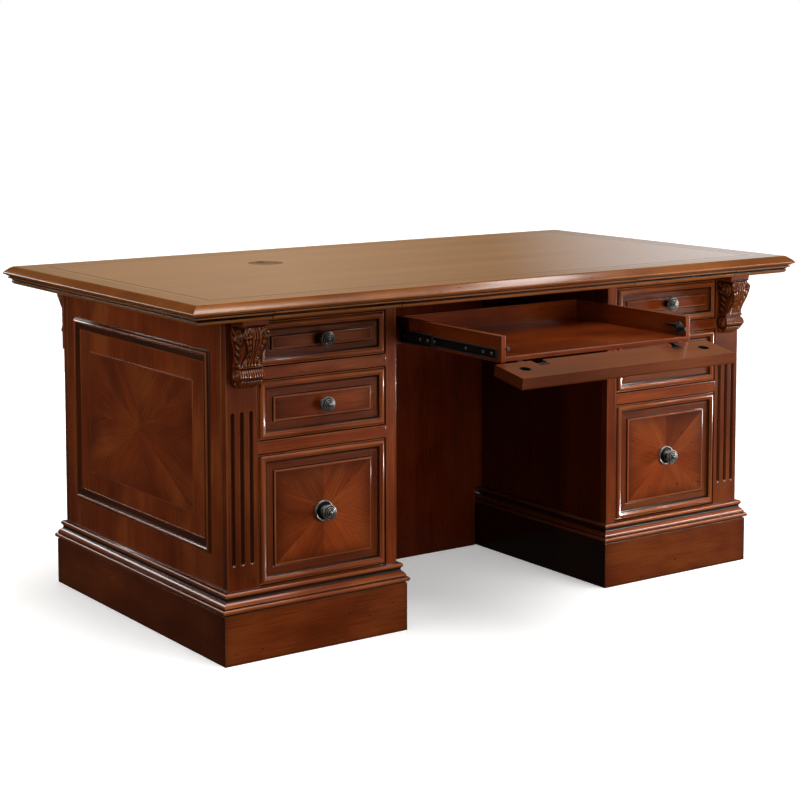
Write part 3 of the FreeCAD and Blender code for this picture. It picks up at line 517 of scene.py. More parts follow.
def worked(points, closed=False, ease=0.6, step=STEP):
    """A drawn profile as it leaves the sanding block, with the wood on the right of the way.

    It is cut into even steps and its corners are eased by a running mean. A point is proud by how far it
    stands out from the mean of its neighbours: proud points are rubbed, hollow ones keep their glaze and
    are darkened with painted shade."""
    points = np.vstack([points, points[:1]]) if closed else np.array(points, float)
    fresh = np.concatenate([[True], np.hypot(*np.diff(points, axis=0).T) > 1e-6])
    points = points[fresh]
    reached = np.concatenate([[0.0], np.cumsum(np.hypot(*np.diff(points, axis=0).T))])
    at = np.linspace(0, reached[-1], max(int(reached[-1] / step), 8) + 1)
    rows = np.stack([np.interp(at, reached, points[:, 0]), np.interp(at, reached, points[:, 1])], 1)
    rows = running_mean(rows[:-1] if closed else rows, ease / step, closed)
    ahead = np.roll(rows, -1, 0) - np.roll(rows, 1, 0) if closed else np.gradient(rows, axis=0)
    outward = np.stack([-ahead[:, 1], ahead[:, 0]], 1) / np.hypot(*ahead.T)[:, None]
    proud = ((rows - running_mean(rows, NEAR_REACH / step, closed)) * outward).sum(1)
    broad = ((rows - running_mean(rows, WIDE_REACH / step, closed)) * outward).sum(1)
    glaze_and_shade = np.clip(-proud / NEAR_FULL - broad / WIDE_FULL, 0, 1)
    ridge = np.clip(proud / NEAR_FULL, 0, 1)
    return {"rows": rows, "glaze_and_shade": glaze_and_shade, "ridge": ridge, "closed": closed}


def glaze_and_shade_wash(cut, column, first, last, strength):
    """Glaze and painted shade left as a wash on the points between two insets (column 0) or two rises
    (column 1).
    """
    at = cut["rows"][:, column]
    share = np.clip(at - first + 0.5, 0, 1) * np.clip(last - at + 0.5, 0, 1)
    return {**cut, "glaze_and_shade": np.maximum(cut["glaze_and_shade"], strength * share)}


print("profiles are cut in steps of", STEP, "mm")


# %% [markdown]
# ## Surfaces
# A surface is kept as plain arrays until it is finished: points, faces, a grain map that runs along each
# member, and the marks. Members that meet in a mitre share their points there but not their grain, so the
# map belongs to the corners of the faces. Parts of one piece are drawn apart and welded at the end.


# %% Keep a surface as arrays
def surface_of(points, faces, grain, tone_and_shading=0.0, glaze_and_shade=0.0, ridge=0.0, rim=0.0):
    """Points, faces and a grain map for the faces' corners, with one tone a face, glaze and ridge for
    each point and a rim for each corner. The tone and the glaze also carry painted shade and light."""
    return {
        "points": points,
        "faces": [faces],
        "grain": [grain],
        "tone_and_shading": [tone_and_shading + np.zeros(len(faces))],
        "glaze_and_shade": glaze_and_shade + np.zeros(len(points)),
        "ridge": ridge + np.zeros(len(points)),
        "rim": [rim + np.zeros(faces.shape)],
    }


def joined(*surfaces):
    """Several surfaces as one, each one's faces counted on from the last one's points."""
    starts = np.cumsum([0] + [len(s["points"]) for s in surfaces])
    whole = {key: np.concatenate([s[key] for s in surfaces]) for key in ("points", "glaze_and_shade", "ridge")}
    whole["faces"] = [face + start for s, start in zip(surfaces, starts) for face in s["faces"]]
    for key in ("grain", "tone_and_shading", "rim"):
        whole[key] = [part for s in surfaces for part in s[key]]
    return whole


def band_faces(rows, around):
    """Faces of four corners between the rows of a band of points that closes round on itself."""
    j, k = np.meshgrid(np.arange(rows - 1), np.arange(around), indexing="ij")
    corner = np.stack([j * around + k, j * around + (k + 1) % around], -1)
    return np.concatenate([corner, corner[..., ::-1] + around], -1).reshape(-1, 4)


print("a band of 3 rows of 8 points has", len(band_faces(3, 8)), "faces")

# %% Carry a profile round a rectangle
HALVES = (0.0, 0.5, 1.0)
EVERY_SIDE = (1, 1, 1, 1)
MEMBER_TONES = tuple(0.05 * np.sin(2.1 * np.arange(4)))
MEMBER_GAP = 310.0


def ring(low, high, axes, cut, base, way=1.0, sides=EVERY_SIDE, shares=(HALVES, HALVES), ends=0.0,
         tones=MEMBER_TONES):
    """A worked profile carried round a rectangle, mitred at its corners.

    A profile point (inset, rise) becomes a smaller rectangle. Each side moves in by inset times its
    own entry in sides, and the rectangle lies at base + way * rise along the third axis. Shares are the
    places of the columns along a side, ends darkens those at the corners, and tones gives each side its
    own tone, which is painted shade where a side is made darker for the light it gets."""
    inset, rise = cut["rows"][:, :1], cut["rows"][:, 1:]
    a0, a1 = low[0] + inset * sides[0], high[0] - inset * sides[1]
    b0, b1 = low[1] + inset * sides[2], high[1] - inset * sides[3]
    go_a, go_b = np.array(shares[0], float), np.array(shares[1], float)
    ones_a, ones_b = np.ones(len(go_a) - 1), np.ones(len(go_b) - 1)
    along_a = a0 + (a1 - a0) * np.concatenate([go_a[:-1], ones_b, go_a[:0:-1], 0 * ones_b])
    along_b = b0 + (b1 - b0) * np.concatenate([0 * ones_a, go_b[:-1], ones_a, go_b[:0:-1]])
    side = np.repeat([0, 1, 2, 3], [len(ones_a), len(ones_b), len(ones_a), len(ones_b)])
    count, around = along_a.shape
    points = np.zeros((count, around, 3))
    points[:, :, axes[0]] = along_a
    points[:, :, axes[1]] = along_b
    points[:, :, axes[2]] = base + way * rise
    runs = count if cut["closed"] else count - 1
    j, k = np.meshgrid(np.arange(runs), np.arange(around), indexing="ij")
    rows = np.stack([j, j, j + 1, j + 1], -1)
    corner_j = rows % count
    corner_k = np.stack([k, k + 1, k + 1, k], -1) % around
    steps = np.hypot(*np.diff(np.vstack([cut["rows"], cut["rows"][:1]]), axis=0).T)
    across = np.concatenate([[0.0], np.cumsum(steps)])[rows]
    along = np.where(side[:, None] % 2 == 0, along_a[corner_j, corner_k], along_b[corner_j, corner_k])
    grain = np.stack([along, across + MEMBER_GAP * side[:, None]], -1)
    at_corner = ends * (np.roll(side, 1) != side)
    made = surface_of(
        points.reshape(-1, 3),
        (corner_j * around + corner_k).reshape(-1, 4),
        grain.reshape(-1, 4, 2),
        tone_and_shading=np.tile(np.array(tones)[side], runs),
        glaze_and_shade=np.repeat(cut["glaze_and_shade"], around),
        ridge=np.repeat(cut["ridge"], around),
        rim=at_corner[corner_k].reshape(-1, 4),
    )
    return {**made, "loops": (points[0], points[-1])}


print("members' tones", np.round(MEMBER_TONES, 3))

# %% Fill a loop
WEDGE_GAP = 140.0


def fan(loop, axes, grain_axis, burst=0.0, rim=0.0):
    """A flat face inside a loop, as triangles about its middle, with its grain along one axis.

    With burst, each triangle is a wedge of veneer whose own grain runs from the middle outwards. Its tone
    goes with the way it points, by up to that share, as light glances off its fibres."""
    around = len(loop)
    middle = loop.mean(0)
    k = np.arange(around)
    faces = np.stack([k, (k + 1) % around, np.full(around, around)], 1)
    points = np.vstack([loop, middle])
    tone_and_shading = 0.0
    if burst:
        flat = (points - middle)[:, [axes[0], axes[1]]]
        out = flat[faces[:, :2]].mean(1)
        out /= np.hypot(*out.T)[:, None]
        cross = np.stack([-out[:, 1], out[:, 0]], 1)
        corners = flat[faces]
        grain = np.stack([(corners * out[:, None]).sum(-1), (corners * cross[:, None]).sum(-1)], -1)
        grain = grain + np.stack([0 * k, WEDGE_GAP * k], 1)[:, None]
        tone_and_shading = burst * (0.6 * out[:, 0] - 0.8 * out[:, 1] + 0.3 * np.sin(2.3 * k))
    else:
        order = [axes[0], axes[1]] if grain_axis == axes[0] else [axes[1], axes[0]]
        grain = points[:, order][faces]
    return surface_of(points, faces, grain, tone_and_shading=tone_and_shading, rim=np.array([rim, rim, 0.0]))


def plain(loop, axes, grain_axis):
    """A flat face inside a loop, as one polygon with its grain along one axis."""
    order = [axes[0], axes[1]] if grain_axis == axes[0] else [axes[1], axes[0]]
    return surface_of(loop, np.arange(len(loop))[None, :], loop[:, order][None, :])


print("wedges lie", WEDGE_GAP, "mm apart in the grain map")

# %% [markdown]
# ## From arrays to a piece
# The arrays go into a mesh whole, with foreach_set, which is far quicker than adding vertices one by one.
# Then the parts are welded, the faces turned outwards, and edges sharper than a set angle kept crisp. A
# piece on the right is the left one mirrored, with its grain map shifted so that no two boards match.

# %% Make a piece
WELD = 2e-6
MIRROR_SHIFT = 1.7
HANDS = (("left", False), ("right", True))


def box_mm(name):
    """The corners of a solid, in millimetres."""
    low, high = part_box(name)
    return np.array(low) / MM, np.array(high) / MM


def stand_in(name, mesh, stands_for, finish):
    """A mesh as a piece that rides with the solid that it stands for."""
    mesh.materials.clear()
    mesh.materials.append(finish)
    piece = bpy.data.objects.new(name, mesh)
    scene.collection.objects.link(piece)
    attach(piece, frame["nodes"][stands_for]["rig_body"])
    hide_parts(stands_for)
    return piece


def make_piece(name, surface, stands_for, finish, mirrored=False, crisp=40.0, tone_and_shading=0.0):
    """A surface in millimetres as a piece in metres that stands for a solid."""
    points = surface["points"] * MM * ((-1, 1, 1) if mirrored else (1, 1, 1))
    corners = np.concatenate([face.ravel() for face in surface["faces"]])
    counts = np.concatenate([np.full(len(face), face.shape[1]) for face in surface["faces"]])
    grain = np.concatenate([part.reshape(-1, 2) for part in surface["grain"]]) * MM
    grain = grain + (MIRROR_SHIFT if mirrored else 0.0)
    rims = np.concatenate([part.ravel() for part in surface["rim"]])
    tones = np.concatenate(surface["tone_and_shading"]) + tone_and_shading
    mesh = bpy.data.meshes.new(name)
    mesh.vertices.add(len(points))
    mesh.vertices.foreach_set("co", points.ravel())
    mesh.loops.add(len(corners))
    mesh.loops.foreach_set("vertex_index", corners.astype(np.int32))
    mesh.polygons.add(len(counts))
    mesh.polygons.foreach_set("loop_start", (np.cumsum(counts) - counts).astype(np.int32))
    mesh.update(calc_edges=True)
    mesh.uv_layers.new(name="grain").data.foreach_set("uv", grain.ravel())
    for key in ("glaze_and_shade", "ridge"):
        mesh.attributes.new(key, "FLOAT", "POINT").data.foreach_set("value", surface[key])
    mesh.attributes.new("rim", "FLOAT", "CORNER").data.foreach_set("value", rims)
    mesh.attributes.new("tone_and_shading", "FLOAT", "FACE").data.foreach_set("value", tones)
    shell = bmesh.new()
    shell.from_mesh(mesh)
    bmesh.ops.remove_doubles(shell, verts=shell.verts, dist=WELD)
    bmesh.ops.recalc_face_normals(shell, faces=shell.faces)
    shell.to_mesh(mesh)
    shell.free()
    mesh.polygons.foreach_set("use_smooth", np.ones(len(mesh.polygons), bool))
    mesh.set_sharp_from_angle(angle=math.radians(crisp))
    return stand_in(name, mesh, stands_for, finish)


def make_pair(name, surface, stands_for, finish, crisp=40.0, tones=(0.0, 0.0)):
    """A surface on the left as a piece, and its mirror image on the right as another."""
    for (hand, mirrored), tone_and_shading in zip(HANDS, tones):
        solid = f"{stands_for}_{hand}"
        make_piece(f"{name}_{hand}", surface, solid, finish, mirrored, crisp, tone_and_shading)


print("pairs are made for", [hand for hand, _ in HANDS])

# %% [markdown]
# ## The edge of the top
# The top is framed by a mitred edging with a thumb-nail nose: a long round above, then a quirk, a thin
# fillet and a hollow below. One closed section goes round the whole top.

# %% Work the edging
X, Y, Z = 0, 1, 2
LEVEL = (X, Y, Z)
low, high = box_mm("top_edging")
nose = profile(
    (12, 0),
    arc((12, 0.2), (7.0, 2.0), -0.5),
    (6.2, 2.0),
    (6.0, 3.2),
    (6.8, 3.6),
    (6.8, 4.4),
    arc((2.9, 4.8), (0.7, 10.0), 1.9),
    arc((0.7, 10.0), (19, 24), 1.3),
    (60, 24),
    (60, 0),
)
# The quirk and the underside of the nose are darkened: glaze and painted shade.
nose_cut = glaze_and_shade_wash(worked(nose, closed=True, ease=0.4), 1, 3.4, 4.8, 0.95)
nose_cut = glaze_and_shade_wash(nose_cut, 1, 0.0, 1.4, 0.8)
# The two ends of the edging are darker than the front and back, the left end most: painted shade.
edging = ring(low[:2], high[:2], LEVEL, nose_cut, low[Z], tones=(0.0, -0.1, 0.0, -0.18))
make_piece("nosed_edging", edging, "top_edging", edge_cherry)
print("edging reaches", (high - low).round(1))

# %% [markdown]
# ## The layer under the top
# Under the nose runs a second, smaller moulding: a fillet, a cove, a quirk and a bead. It belongs to the
# boards under the top, and over each pedestal to a writing slide, whose front carries it on. The cuts
# between them are real gaps between pieces.

# %% Work the layer
SAW_CUT = 1.2
NEAR_ENDS = (0.0, 0.008, 0.992, 1.0)
under_edge = profile(
    arc((14, 0), (6, 8), 2.34),
    (8, 8),
    arc((8, 8), (0, 14), -1.75),
    (0, 18),
    (3, 18),
)
# The quirk, the joint under the top and the bottom edge of the layer are darkened: glaze and painted
# shade.
under_cut = glaze_and_shade_wash(worked(under_edge, ease=0.35), 1, 7.2, 9.4, 0.9)
under_cut = glaze_and_shade_wash(glaze_and_shade_wash(under_cut, 1, 16.6, 18.0, 0.9), 1, 0.0, 1.0, 0.7)


def moulded_board(name, sides, play=0.0):
    """A board with the layer's moulding on the sides that are marked 1, and some play at its two ends."""
    low, high = box_mm(name)
    low[X] += play
    high[X] -= play
    shares = (NEAR_ENDS, NEAR_ENDS)
    edge = ring(low[:2], high[:2], LEVEL, under_cut, low[Z], sides=sides, shares=shares, ends=1.0)
    grain_axis = int(np.argmax((high - low)[:2]))
    return joined(edge, *(plain(loop, LEVEL, grain_axis) for loop in edge["loops"]))


# The boards of the layer are lightened by their tone: painted light on a moulding that faces down into the
# shade.
end_board = moulded_board("under_top_end_left", (1, 0, 1, 1))
make_pair("moulded_end", end_board, "under_top_end", edge_cherry, tones=(0.1, 0.1))
pull_board = moulded_board("writing_slide_left", (0, 0, 1, 0), play=SAW_CUT)
make_pair("moulded_slide", pull_board, "writing_slide", edge_cherry, tones=(0.3, 0.3))
front_board = moulded_board("under_top_front", (0, 0, 1, 0))
make_piece("moulded_front_board", front_board, "under_top_front", edge_cherry, tone_and_shading=0.3)
rear_board = moulded_board("under_top_rear", (0, 0, 0, 1))
make_piece("moulded_rear_board", rear_board, "under_top_rear", edge_cherry, tone_and_shading=0.3)
print("layer of", len(under_cut["rows"]), "profile points")

# %% [markdown]
# ## Boards with eased edges
# A planed board is never quite sharp: its edges are eased, and a line of light runs along them. A board is
# the simplest ring, a square edge carried round the rectangle, with a flat face on each side.

# %% Make the stiles and rails
BOARD_RIM = 5.0
RAIL_HEIGHTS = ((107, 152), (432, 458), (588, 613), (710, 720))


def board(low, high, grain_axis, ease=0.7):
    """A board with eased edges: a square edge carried round its face, closed on both sides."""
    low, high = np.array(low, float), np.array(high, float)
    c = int(np.argmin(high - low))
    axes = tuple(axis for axis in range(3) if axis != c) + (c,)
    thick = high[c] - low[c]
    cut = worked([(BOARD_RIM, 0), (0, 0), (0, thick), (BOARD_RIM, thick)], ease=ease, step=0.5)
    # A narrow band in from each edge of the board's faces is darkened: glaze and painted shade.
    cut = glaze_and_shade_wash(cut, 0, 1.2, 3.4, 0.35)
    edge = ring(low[list(axes[:2])], high[list(axes[:2])], axes, cut, low[c])
    return joined(edge, *(plain(loop, axes, grain_axis) for loop in edge["loops"]))


# The stile on the right is darker than the left one: painted shade, against the lamp that lights the right
# pedestal more.
make_pair("eased_stile", board(*box_mm("stile_left"), Z), "stile", case_cherry, tones=(0.0, -0.18))
low, high = box_mm("rails_left")
rails = [board((low[X], low[Y], z0), (high[X], high[Y], z1), X) for z0, z1 in RAIL_HEIGHTS]
make_pair("eased_rails", joined(*rails), "rails", case_cherry)
print("rails at", RAIL_HEIGHTS)

# %% [markdown]
# ## Side panels with a veneered field
# Each outer side has a flat panel with a field that is raised a little and veneered in eight wedges, so
# that the grain bursts from the middle. The wedges are triangles, and each has its own grain map: this is
# how the veneer is really laid, and a radial texture would miss the seams.

# %% Lay the side fields
SIDEWAYS = (Y, Z, X)
FIELD_LOW, FIELD_HIGH = np.array((-72.1, 292.0)), np.array((419.9, 576.0))
FIELD_RISE = 1.5
low, high = box_mm("side_panel_left")
side_face = low[X] + FIELD_RISE
side_board = board((side_face, low[Y], low[Z]), high, Z)
raised = worked([(0, -0.5), (0, FIELD_RISE), (4, FIELD_RISE)], ease=0.4)
field_edge = ring(FIELD_LOW, FIELD_HIGH, SIDEWAYS, raised, side_face, way=-1.0)
field_under = plain(field_edge["loops"][0], SIDEWAYS, Z)
field_burst = fan(field_edge["loops"][1], SIDEWAYS, Z, burst=0.06, rim=0.8)
side_panel = joined(side_board, field_edge, field_burst, field_under)
make_pair("burst_panel", side_panel, "side_panel", case_cherry)
print("field", FIELD_HIGH - FIELD_LOW, "mm")

# %% [markdown]
# ## Frames on the sides
# A raised frame is planted on each side panel: a cove at its outer edge, a ridge with two narrow flanks,
# and a long hollow slope. Cove and slope keep their glaze and are darkened with painted shade, and the
# ridge is a bright line between them.

# %% Work the side frames
frame_edge = profile(
    (0, 0),
    (0, 1.6),
    arc((0.3, 1.8), (4.4, 5.6), -0.8),
    (4.6, 6.2),
    arc((7.2, 8.0), (8.0, 8.0), 0.1),
    (10.6, 6.2),
    (10.8, 5.4),
    arc((11.3, 6.2), (24.6, 1.8), -0.9),
    (25.0, 1.3),
    (27.6, 1.5),
    (28, 0),
)
# The slope, the outer cove and the quirk beside the ridge are darkened: glaze and painted shade.
frame_cut = glaze_and_shade_wash(worked(frame_edge, closed=True, ease=0.30), 0, 11.0, 25.6, 0.88)
frame_cut = glaze_and_shade_wash(glaze_and_shade_wash(frame_cut, 0, 0.0, 4.3, 0.92), 0, 10.6, 11.6, 0.95)
low, high = box_mm("side_frame_left")
frame_bars = ring(low[1:], high[1:], SIDEWAYS, frame_cut, high[X], way=-1.0)
make_pair("side_frame_moulding", frame_bars, "side_frame", case_cherry)
print("frame profile of", len(frame_cut["rows"]), "points")

# %% [markdown]
# ## Plinth and base moulding
# A plain board plinth stands on the floor. On it sits the base moulding, from the bottom a torus, a
# quirk, a small round, a cove and a cap bead. It holds most of the glaze and painted shade on the desk.

# %% Work the base mouldings
base_edge = profile(
    (6.0, 0),
    (6.0, 1.6),
    (4.4, 2.2),
    arc((3.4, 2.6), (2.6, 13.4), 5.0),
    (4.6, 14.0),
    (4.6, 14.8),
    arc((3.4, 15.2), (11.6, 25.6), 1.3),
    (12.6, 26.2),
    arc((12.4, 26.6), (10.6, 34.4), -1.9),
    (11.4, 34.9),
    arc((9.8, 35.2), (13.2, 43.6), 2.2),
    (17.0, 45),
    (20.1, 45),
    (20.1, 0),
)
base_cut = worked(base_edge, closed=True, ease=0.35)
# The foot, the quirk over the torus, the underside of the cap and the top of the cap are darkened: glaze
# and painted shade.
for first, last in ((0.0, 2.8), (12.8, 15.4), (33.4, 35.4), (43.4, 45.0)):
    base_cut = glaze_and_shade_wash(base_cut, 1, first, last, 0.95)
low, high = box_mm("base_moulding_left")
# The side that faces the knee hole is much darker, and the outer side a little darker: painted shade.
skirt = ring(low[:2], high[:2], LEVEL, base_cut, low[Z], tones=(0.0, -0.6, 0.0, -0.1))
make_pair("worked_base", skirt, "base_moulding", case_cherry)
print("base profile of", len(base_cut["rows"]), "points")

# %% Stand the plinths
PLINTH_WALL = 25
PLINTH_SHARES = (0.0, 0.12, 0.88, 1.0)
low, high = box_mm("plinth_left")
plinth_edge = [(0, 0), (0, high[Z]), (PLINTH_WALL, high[Z]), (PLINTH_WALL, 0)]
# The plinth darkens under the moulding, as glaze and painted shade, and along its foot at the floor, as
# painted shade.
plinth_cut = glaze_and_shade_wash(worked(plinth_edge, closed=True, ease=0.8, step=0.6), 1, high[Z] - 2.0, high[Z], 0.5)
plinth_cut = glaze_and_shade_wash(plinth_cut, 1, 0.0, 5.0, 0.45)
# The plinth is darker all round, darkest on the side that faces the knee hole, and darker again on the
# right pedestal: painted shade.
foot = ring(
    low[:2], high[:2], LEVEL, plinth_cut, low[Z], shares=(PLINTH_SHARES, PLINTH_SHARES), ends=0.95,
    tones=(-0.28, -0.7, -0.28, -0.32),
)
make_pair("plinth_boards", foot, "plinth", case_cherry, tones=(0.0, -0.14))
print("plinth", (high - low).round(1), "mm")

# %% [markdown]
# ## Drawer fronts
# Each front has a lip, a bead with a bright ridge, a cove down to a flat band, a dark groove and a raised
# field. The field of the file drawer is veneered in wedges like the sides.

# %% Work the drawer fronts
UPRIGHT = (X, Z, Y)
BAND = 17.0
DRAWERS = {"top": (32.0, X, 0.0), "middle": (36.0, X, 0.0), "file": (36.0, Z, 0.24)}


def front_edge(margin):
    """The profile of a front: its flat band lies BAND off its back, and its field starts at margin."""
    return profile(
        (6, 0),
        (0, 0),
        (0, BAND + 0.8),
        (1.6, BAND + 1.0),
        (2.4, BAND - 0.2),
        arc((3.0, BAND + 1.2), (12.4, BAND + 5.2), 3.4),
        arc((12.4, BAND + 5.2), (15.2, BAND + 2.6), 1.1),
        (15.6, BAND + 0.4),
        arc((16.2, BAND + 0.6), (21.5, BAND), -0.5),
        (margin - 2.0, BAND),
        (margin - 1.4, BAND - 1.2),
        (margin - 0.2, BAND - 1.2),
        arc((margin, BAND + 1.2), (margin + 2.4, BAND + 3.0), 0.7),
        (margin + 4.5, BAND + 3.0),
    )


def panelled(low, high, margin, grain_axis, burst):
    """A panelled front between two corners, with its back at the rear one."""
    # The flat band, the cove beside the bead and the groove round the field are darkened: glaze and
    # painted shade.
    cut = glaze_and_shade_wash(worked(front_edge(margin), ease=0.35), 0, 15.6, margin + 0.2, 0.45)
    cut = glaze_and_shade_wash(glaze_and_shade_wash(cut, 0, 15.0, 18.0, 0.85), 0, margin - 2.4, margin + 0.4, 0.9)
    moulding = ring(low[[X, Z]], high[[X, Z]], UPRIGHT, cut, high[Y], way=-1.0)
    inside = plain(moulding["loops"][0], UPRIGHT, X)
    field = fan(moulding["loops"][1], UPRIGHT, grain_axis, burst=burst, rim=1.0)
    return joined(moulding, inside, field)


for drawer, (margin, grain_axis, burst) in DRAWERS.items():
    low, high = box_mm(f"{drawer}_drawer_front_left")
    front = panelled(low, high, margin, grain_axis, burst)
    make_pair(f"{drawer}_front", front, f"{drawer}_drawer_front", case_cherry)
print("fronts:", list(DRAWERS))

# %% [markdown]
# ## Fluted pilasters
# A pilaster stands at each outer corner, with three flutes that end in a round. A flute is what a round
# cutter leaves along a line, so its depth depends only on the distance to that line. The face is a grid
# of points, finer near the ends of the flutes, and the eased edge shares the grid's border points.


# %% Carve a face
def carved(low, high, axes, shares, level, way, hollow):
    """A face as a grid of points, sunk from its level by hollow(a, b), which also gives its marks."""
    go_a, go_b = (np.array(share, float) for share in shares)
    lines_a = low[0] + (high[0] - low[0]) * go_a
    lines_b = low[1] + (high[1] - low[1]) * go_b
    a, b = np.meshgrid(lines_a, lines_b, indexing="ij")
    depth, glaze_and_shade, ridge = hollow(a, b)
    points = np.zeros(a.shape + (3,))
    points[..., axes[0]] = a
    points[..., axes[1]] = b
    points[..., axes[2]] = level - way * depth
    wide = len(go_b)
    i, j = np.meshgrid(np.arange(len(go_a) - 1), np.arange(wide - 1), indexing="ij")
    start = (i * wide + j).ravel()
    faces = np.stack([start, start + wide, start + wide + 1, start + 1], 1)
    flat = points.reshape(-1, 3)
    grain = flat[:, [axes[1], axes[0]]][faces]
    return surface_of(flat, faces, grain, glaze_and_shade=glaze_and_shade.ravel(), ridge=ridge.ravel())


FLUTE_LINES = np.array([-711.5, -689.5, -667.5])
FLUTE_FOOT, FLUTE_HEAD = 207.5, 519.5
FLUTE_RADIUS, FLUTE_DEPTH = 5.5, 4.5


def flutes(across, up):
    """Depth and marks of the flutes: the round cutter's circle at the distance from the nearest line."""
    past_end = np.maximum(np.maximum(FLUTE_FOOT - up, up - FLUTE_HEAD), 0.0)
    aside = np.abs(across[..., None] - FLUTE_LINES).min(-1)
    away = np.hypot(aside, past_end)
    circle = np.sqrt(np.maximum(FLUTE_RADIUS**2 - away**2, 0.0))
    depth = np.maximum(circle - (FLUTE_RADIUS - FLUTE_DEPTH), 0.0)
    lip = math.sqrt(FLUTE_RADIUS**2 - (FLUTE_RADIUS - FLUTE_DEPTH) ** 2)
    # The flutes darken with their depth: glaze and painted shade.
    glaze_and_shade = np.clip(1.1 * depth / FLUTE_DEPTH - 0.2, 0, 1)
    ridge = 0.8 * np.exp(-(((away - lip) / 0.7) ** 2))
    return depth, glaze_and_shade, ridge


print("flutes", FLUTE_HEAD - FLUTE_FOOT, "mm between their rounds")

# %% Make the pilasters
PILASTER_THICK = 20
FACE_INSET = 3.0
FINE_REACH = 8


def pilaster(low, high, way):
    """A fluted board whose face looks along Y by way."""
    base = high[Y] if way < 0 else low[Y]
    thick = high[Y] - low[Y]
    cut = worked([(BOARD_RIM, 0), (0, 0), (0, thick), (FACE_INSET, thick)], ease=0.6, step=0.7)
    face_low, face_high = low[[X, Z]] + FACE_INSET, high[[X, Z]] - FACE_INSET
    across = np.linspace(face_low[0], face_high[0], 125)
    ends = [np.linspace(end - FINE_REACH, end + FINE_REACH, 29) for end in (FLUTE_FOOT, FLUTE_HEAD)]
    up = np.unique(np.concatenate([np.linspace(face_low[1], face_high[1], 50), *ends]))
    shares = [(lines - lines[0]) / (lines[-1] - lines[0]) for lines in (across, up)]
    edge = ring(low[[X, Z]], high[[X, Z]], UPRIGHT, cut, base, way=way, shares=shares)
    face = carved(face_low, face_high, UPRIGHT, shares, base + way * thick, way, flutes)
    return joined(edge, face, plain(edge["loops"][0], UPRIGHT, Z))


low, high = box_mm("pilasters_left")
before = pilaster(low, np.array((high[X], low[Y] + PILASTER_THICK, high[Z])), -1.0)
behind = pilaster(np.array((low[X], high[Y] - PILASTER_THICK, low[Z])), high, 1.0)
pilasters = joined(before, behind)
make_pair("fluted_pilasters", pilasters, "pilasters", case_cherry, tones=(-0.32, -0.32))
print("pilaster faces:", sum(len(face) for face in pilasters["faces"]))

# %% [markdown]
# ## Carved corbels
# Over each pilaster a corbel carries the top: a plain abacus, an acanthus leaf that leans out at the top,
# and a reeded scroll below. Its outline in plan is a flat-backed band that is carried down the height
# while its width and reach change. The carving is a relief added along the band's outward direction: ribs
# that follow the leaf, lobes along its edges, reeds round the scroll and volutes on the two flanks. The
# rear corbels stand on thin plates, which show in the outline of the desk.


# %% Shapes to carve with
def smooth_step(low, high, value):
    """0 below low, 1 above high, and an S-curve between."""
    share = np.clip((value - low) / (high - low), 0, 1)
    return share * share * (3 - 2 * share)


def hump(value, middle, width):
    """A bell curve of height 1."""
    return np.exp(-(((value - middle) / width) ** 2))


def dome(a, b, size_a, size_b):
    """Half of an egg with two half-axes: the root of 1 - (a / size_a) squared - (b / size_b) squared."""
    return np.sqrt(np.maximum(1 - (a / size_a) ** 2 - (b / size_b) ** 2, 0))


def spiral(a, b, radius, pitch):
    """A raised disc with a groove that winds outwards, by one pitch in a turn."""
    far, turn = np.hypot(a, b), np.arctan2(b, a)
    return dome(a, b, radius, radius) * (0.75 + 0.35 * np.cos(2 * math.pi * far / pitch - turn))


print("a dome is", dome(0.0, 0.0, 1.0, 1.0), "high at its middle")

# %% Draw the carving
LEAF_TIPS = ((12.0, 24.0), (13.0, 40.0), (19.0, 57.0), (15.0, 70.0), (12.0, 84.0))


def leaf_relief(u, drop):
    """The carving on the front, where u runs from -1 to 1 across it.

    From the top: two curled tips with a palmette between them, a leaf with three ribs each side and
    notched edges, a row of eggs, a skirt, the reeds of the scroll and a fringe. Where the upper ones
    meet, the higher wins."""
    x = 29.0 * u
    aside = np.abs(x)
    half = np.interp(drop, [14, 22, 45, 66, 82, 96], [24, 27, 23, 16.5, 19, 25])
    v = aside / half
    within = smooth_step(13, 15, drop) * (1 - smooth_step(95, 97, drop))
    within = within * (1 - smooth_step(0.95, 1.08, v))
    body = 2.2 + 2.6 * np.abs(np.cos(3.0 * math.pi * v)) ** 0.6
    notch = np.abs(np.sin(math.pi * (drop - 40 + 9 * (1 - v)) / 13.0)) ** 0.5
    body = body * (1 - 0.9 * smooth_step(0.40, 0.65, v) * smooth_step(34, 40, drop) * (1 - notch))
    body = body - 1.6 * hump(x, 0, 3.0) * hump(drop, 66, 16)
    curls = 7.5 * spiral(aside - 18.5, drop - 27, 11.5, 5.2)
    palm = (2.6 + 3.2 * np.abs(np.cos(math.pi * x / 6.2)) ** 0.6) * (1 - smooth_step(8, 10.5, aside))
    palm = palm * smooth_step(13, 15, drop) * (1 - smooth_step(37, 46, drop))
    eggs = np.maximum(dome(x, drop - 88, 2.6, 7.5), dome(aside - 8.2, drop - 87, 3.6, 8.5))
    eggs = 5.6 * np.maximum(eggs, dome(aside - 18.0, drop - 89, 4.8, 6.5))
    carving = np.maximum.reduce([within * body, curls, palm, eggs])
    skirt = 3.0 * hump(drop, 98.5, 1.8)
    reeds = (0.8 + 3.4 * np.abs(np.cos(math.pi * x / 5.8)) ** 0.6) * smooth_step(102, 105, drop)
    reeds = reeds * (1 - smooth_step(119, 125, drop))
    fringe = 2.4 * np.abs(np.cos(math.pi * x / 8.0)) ** 0.7
    fringe = fringe * smooth_step(126, 129, drop) * (1 - smooth_step(139, 143, drop))
    return carving + skirt + reeds + fringe - 1.8


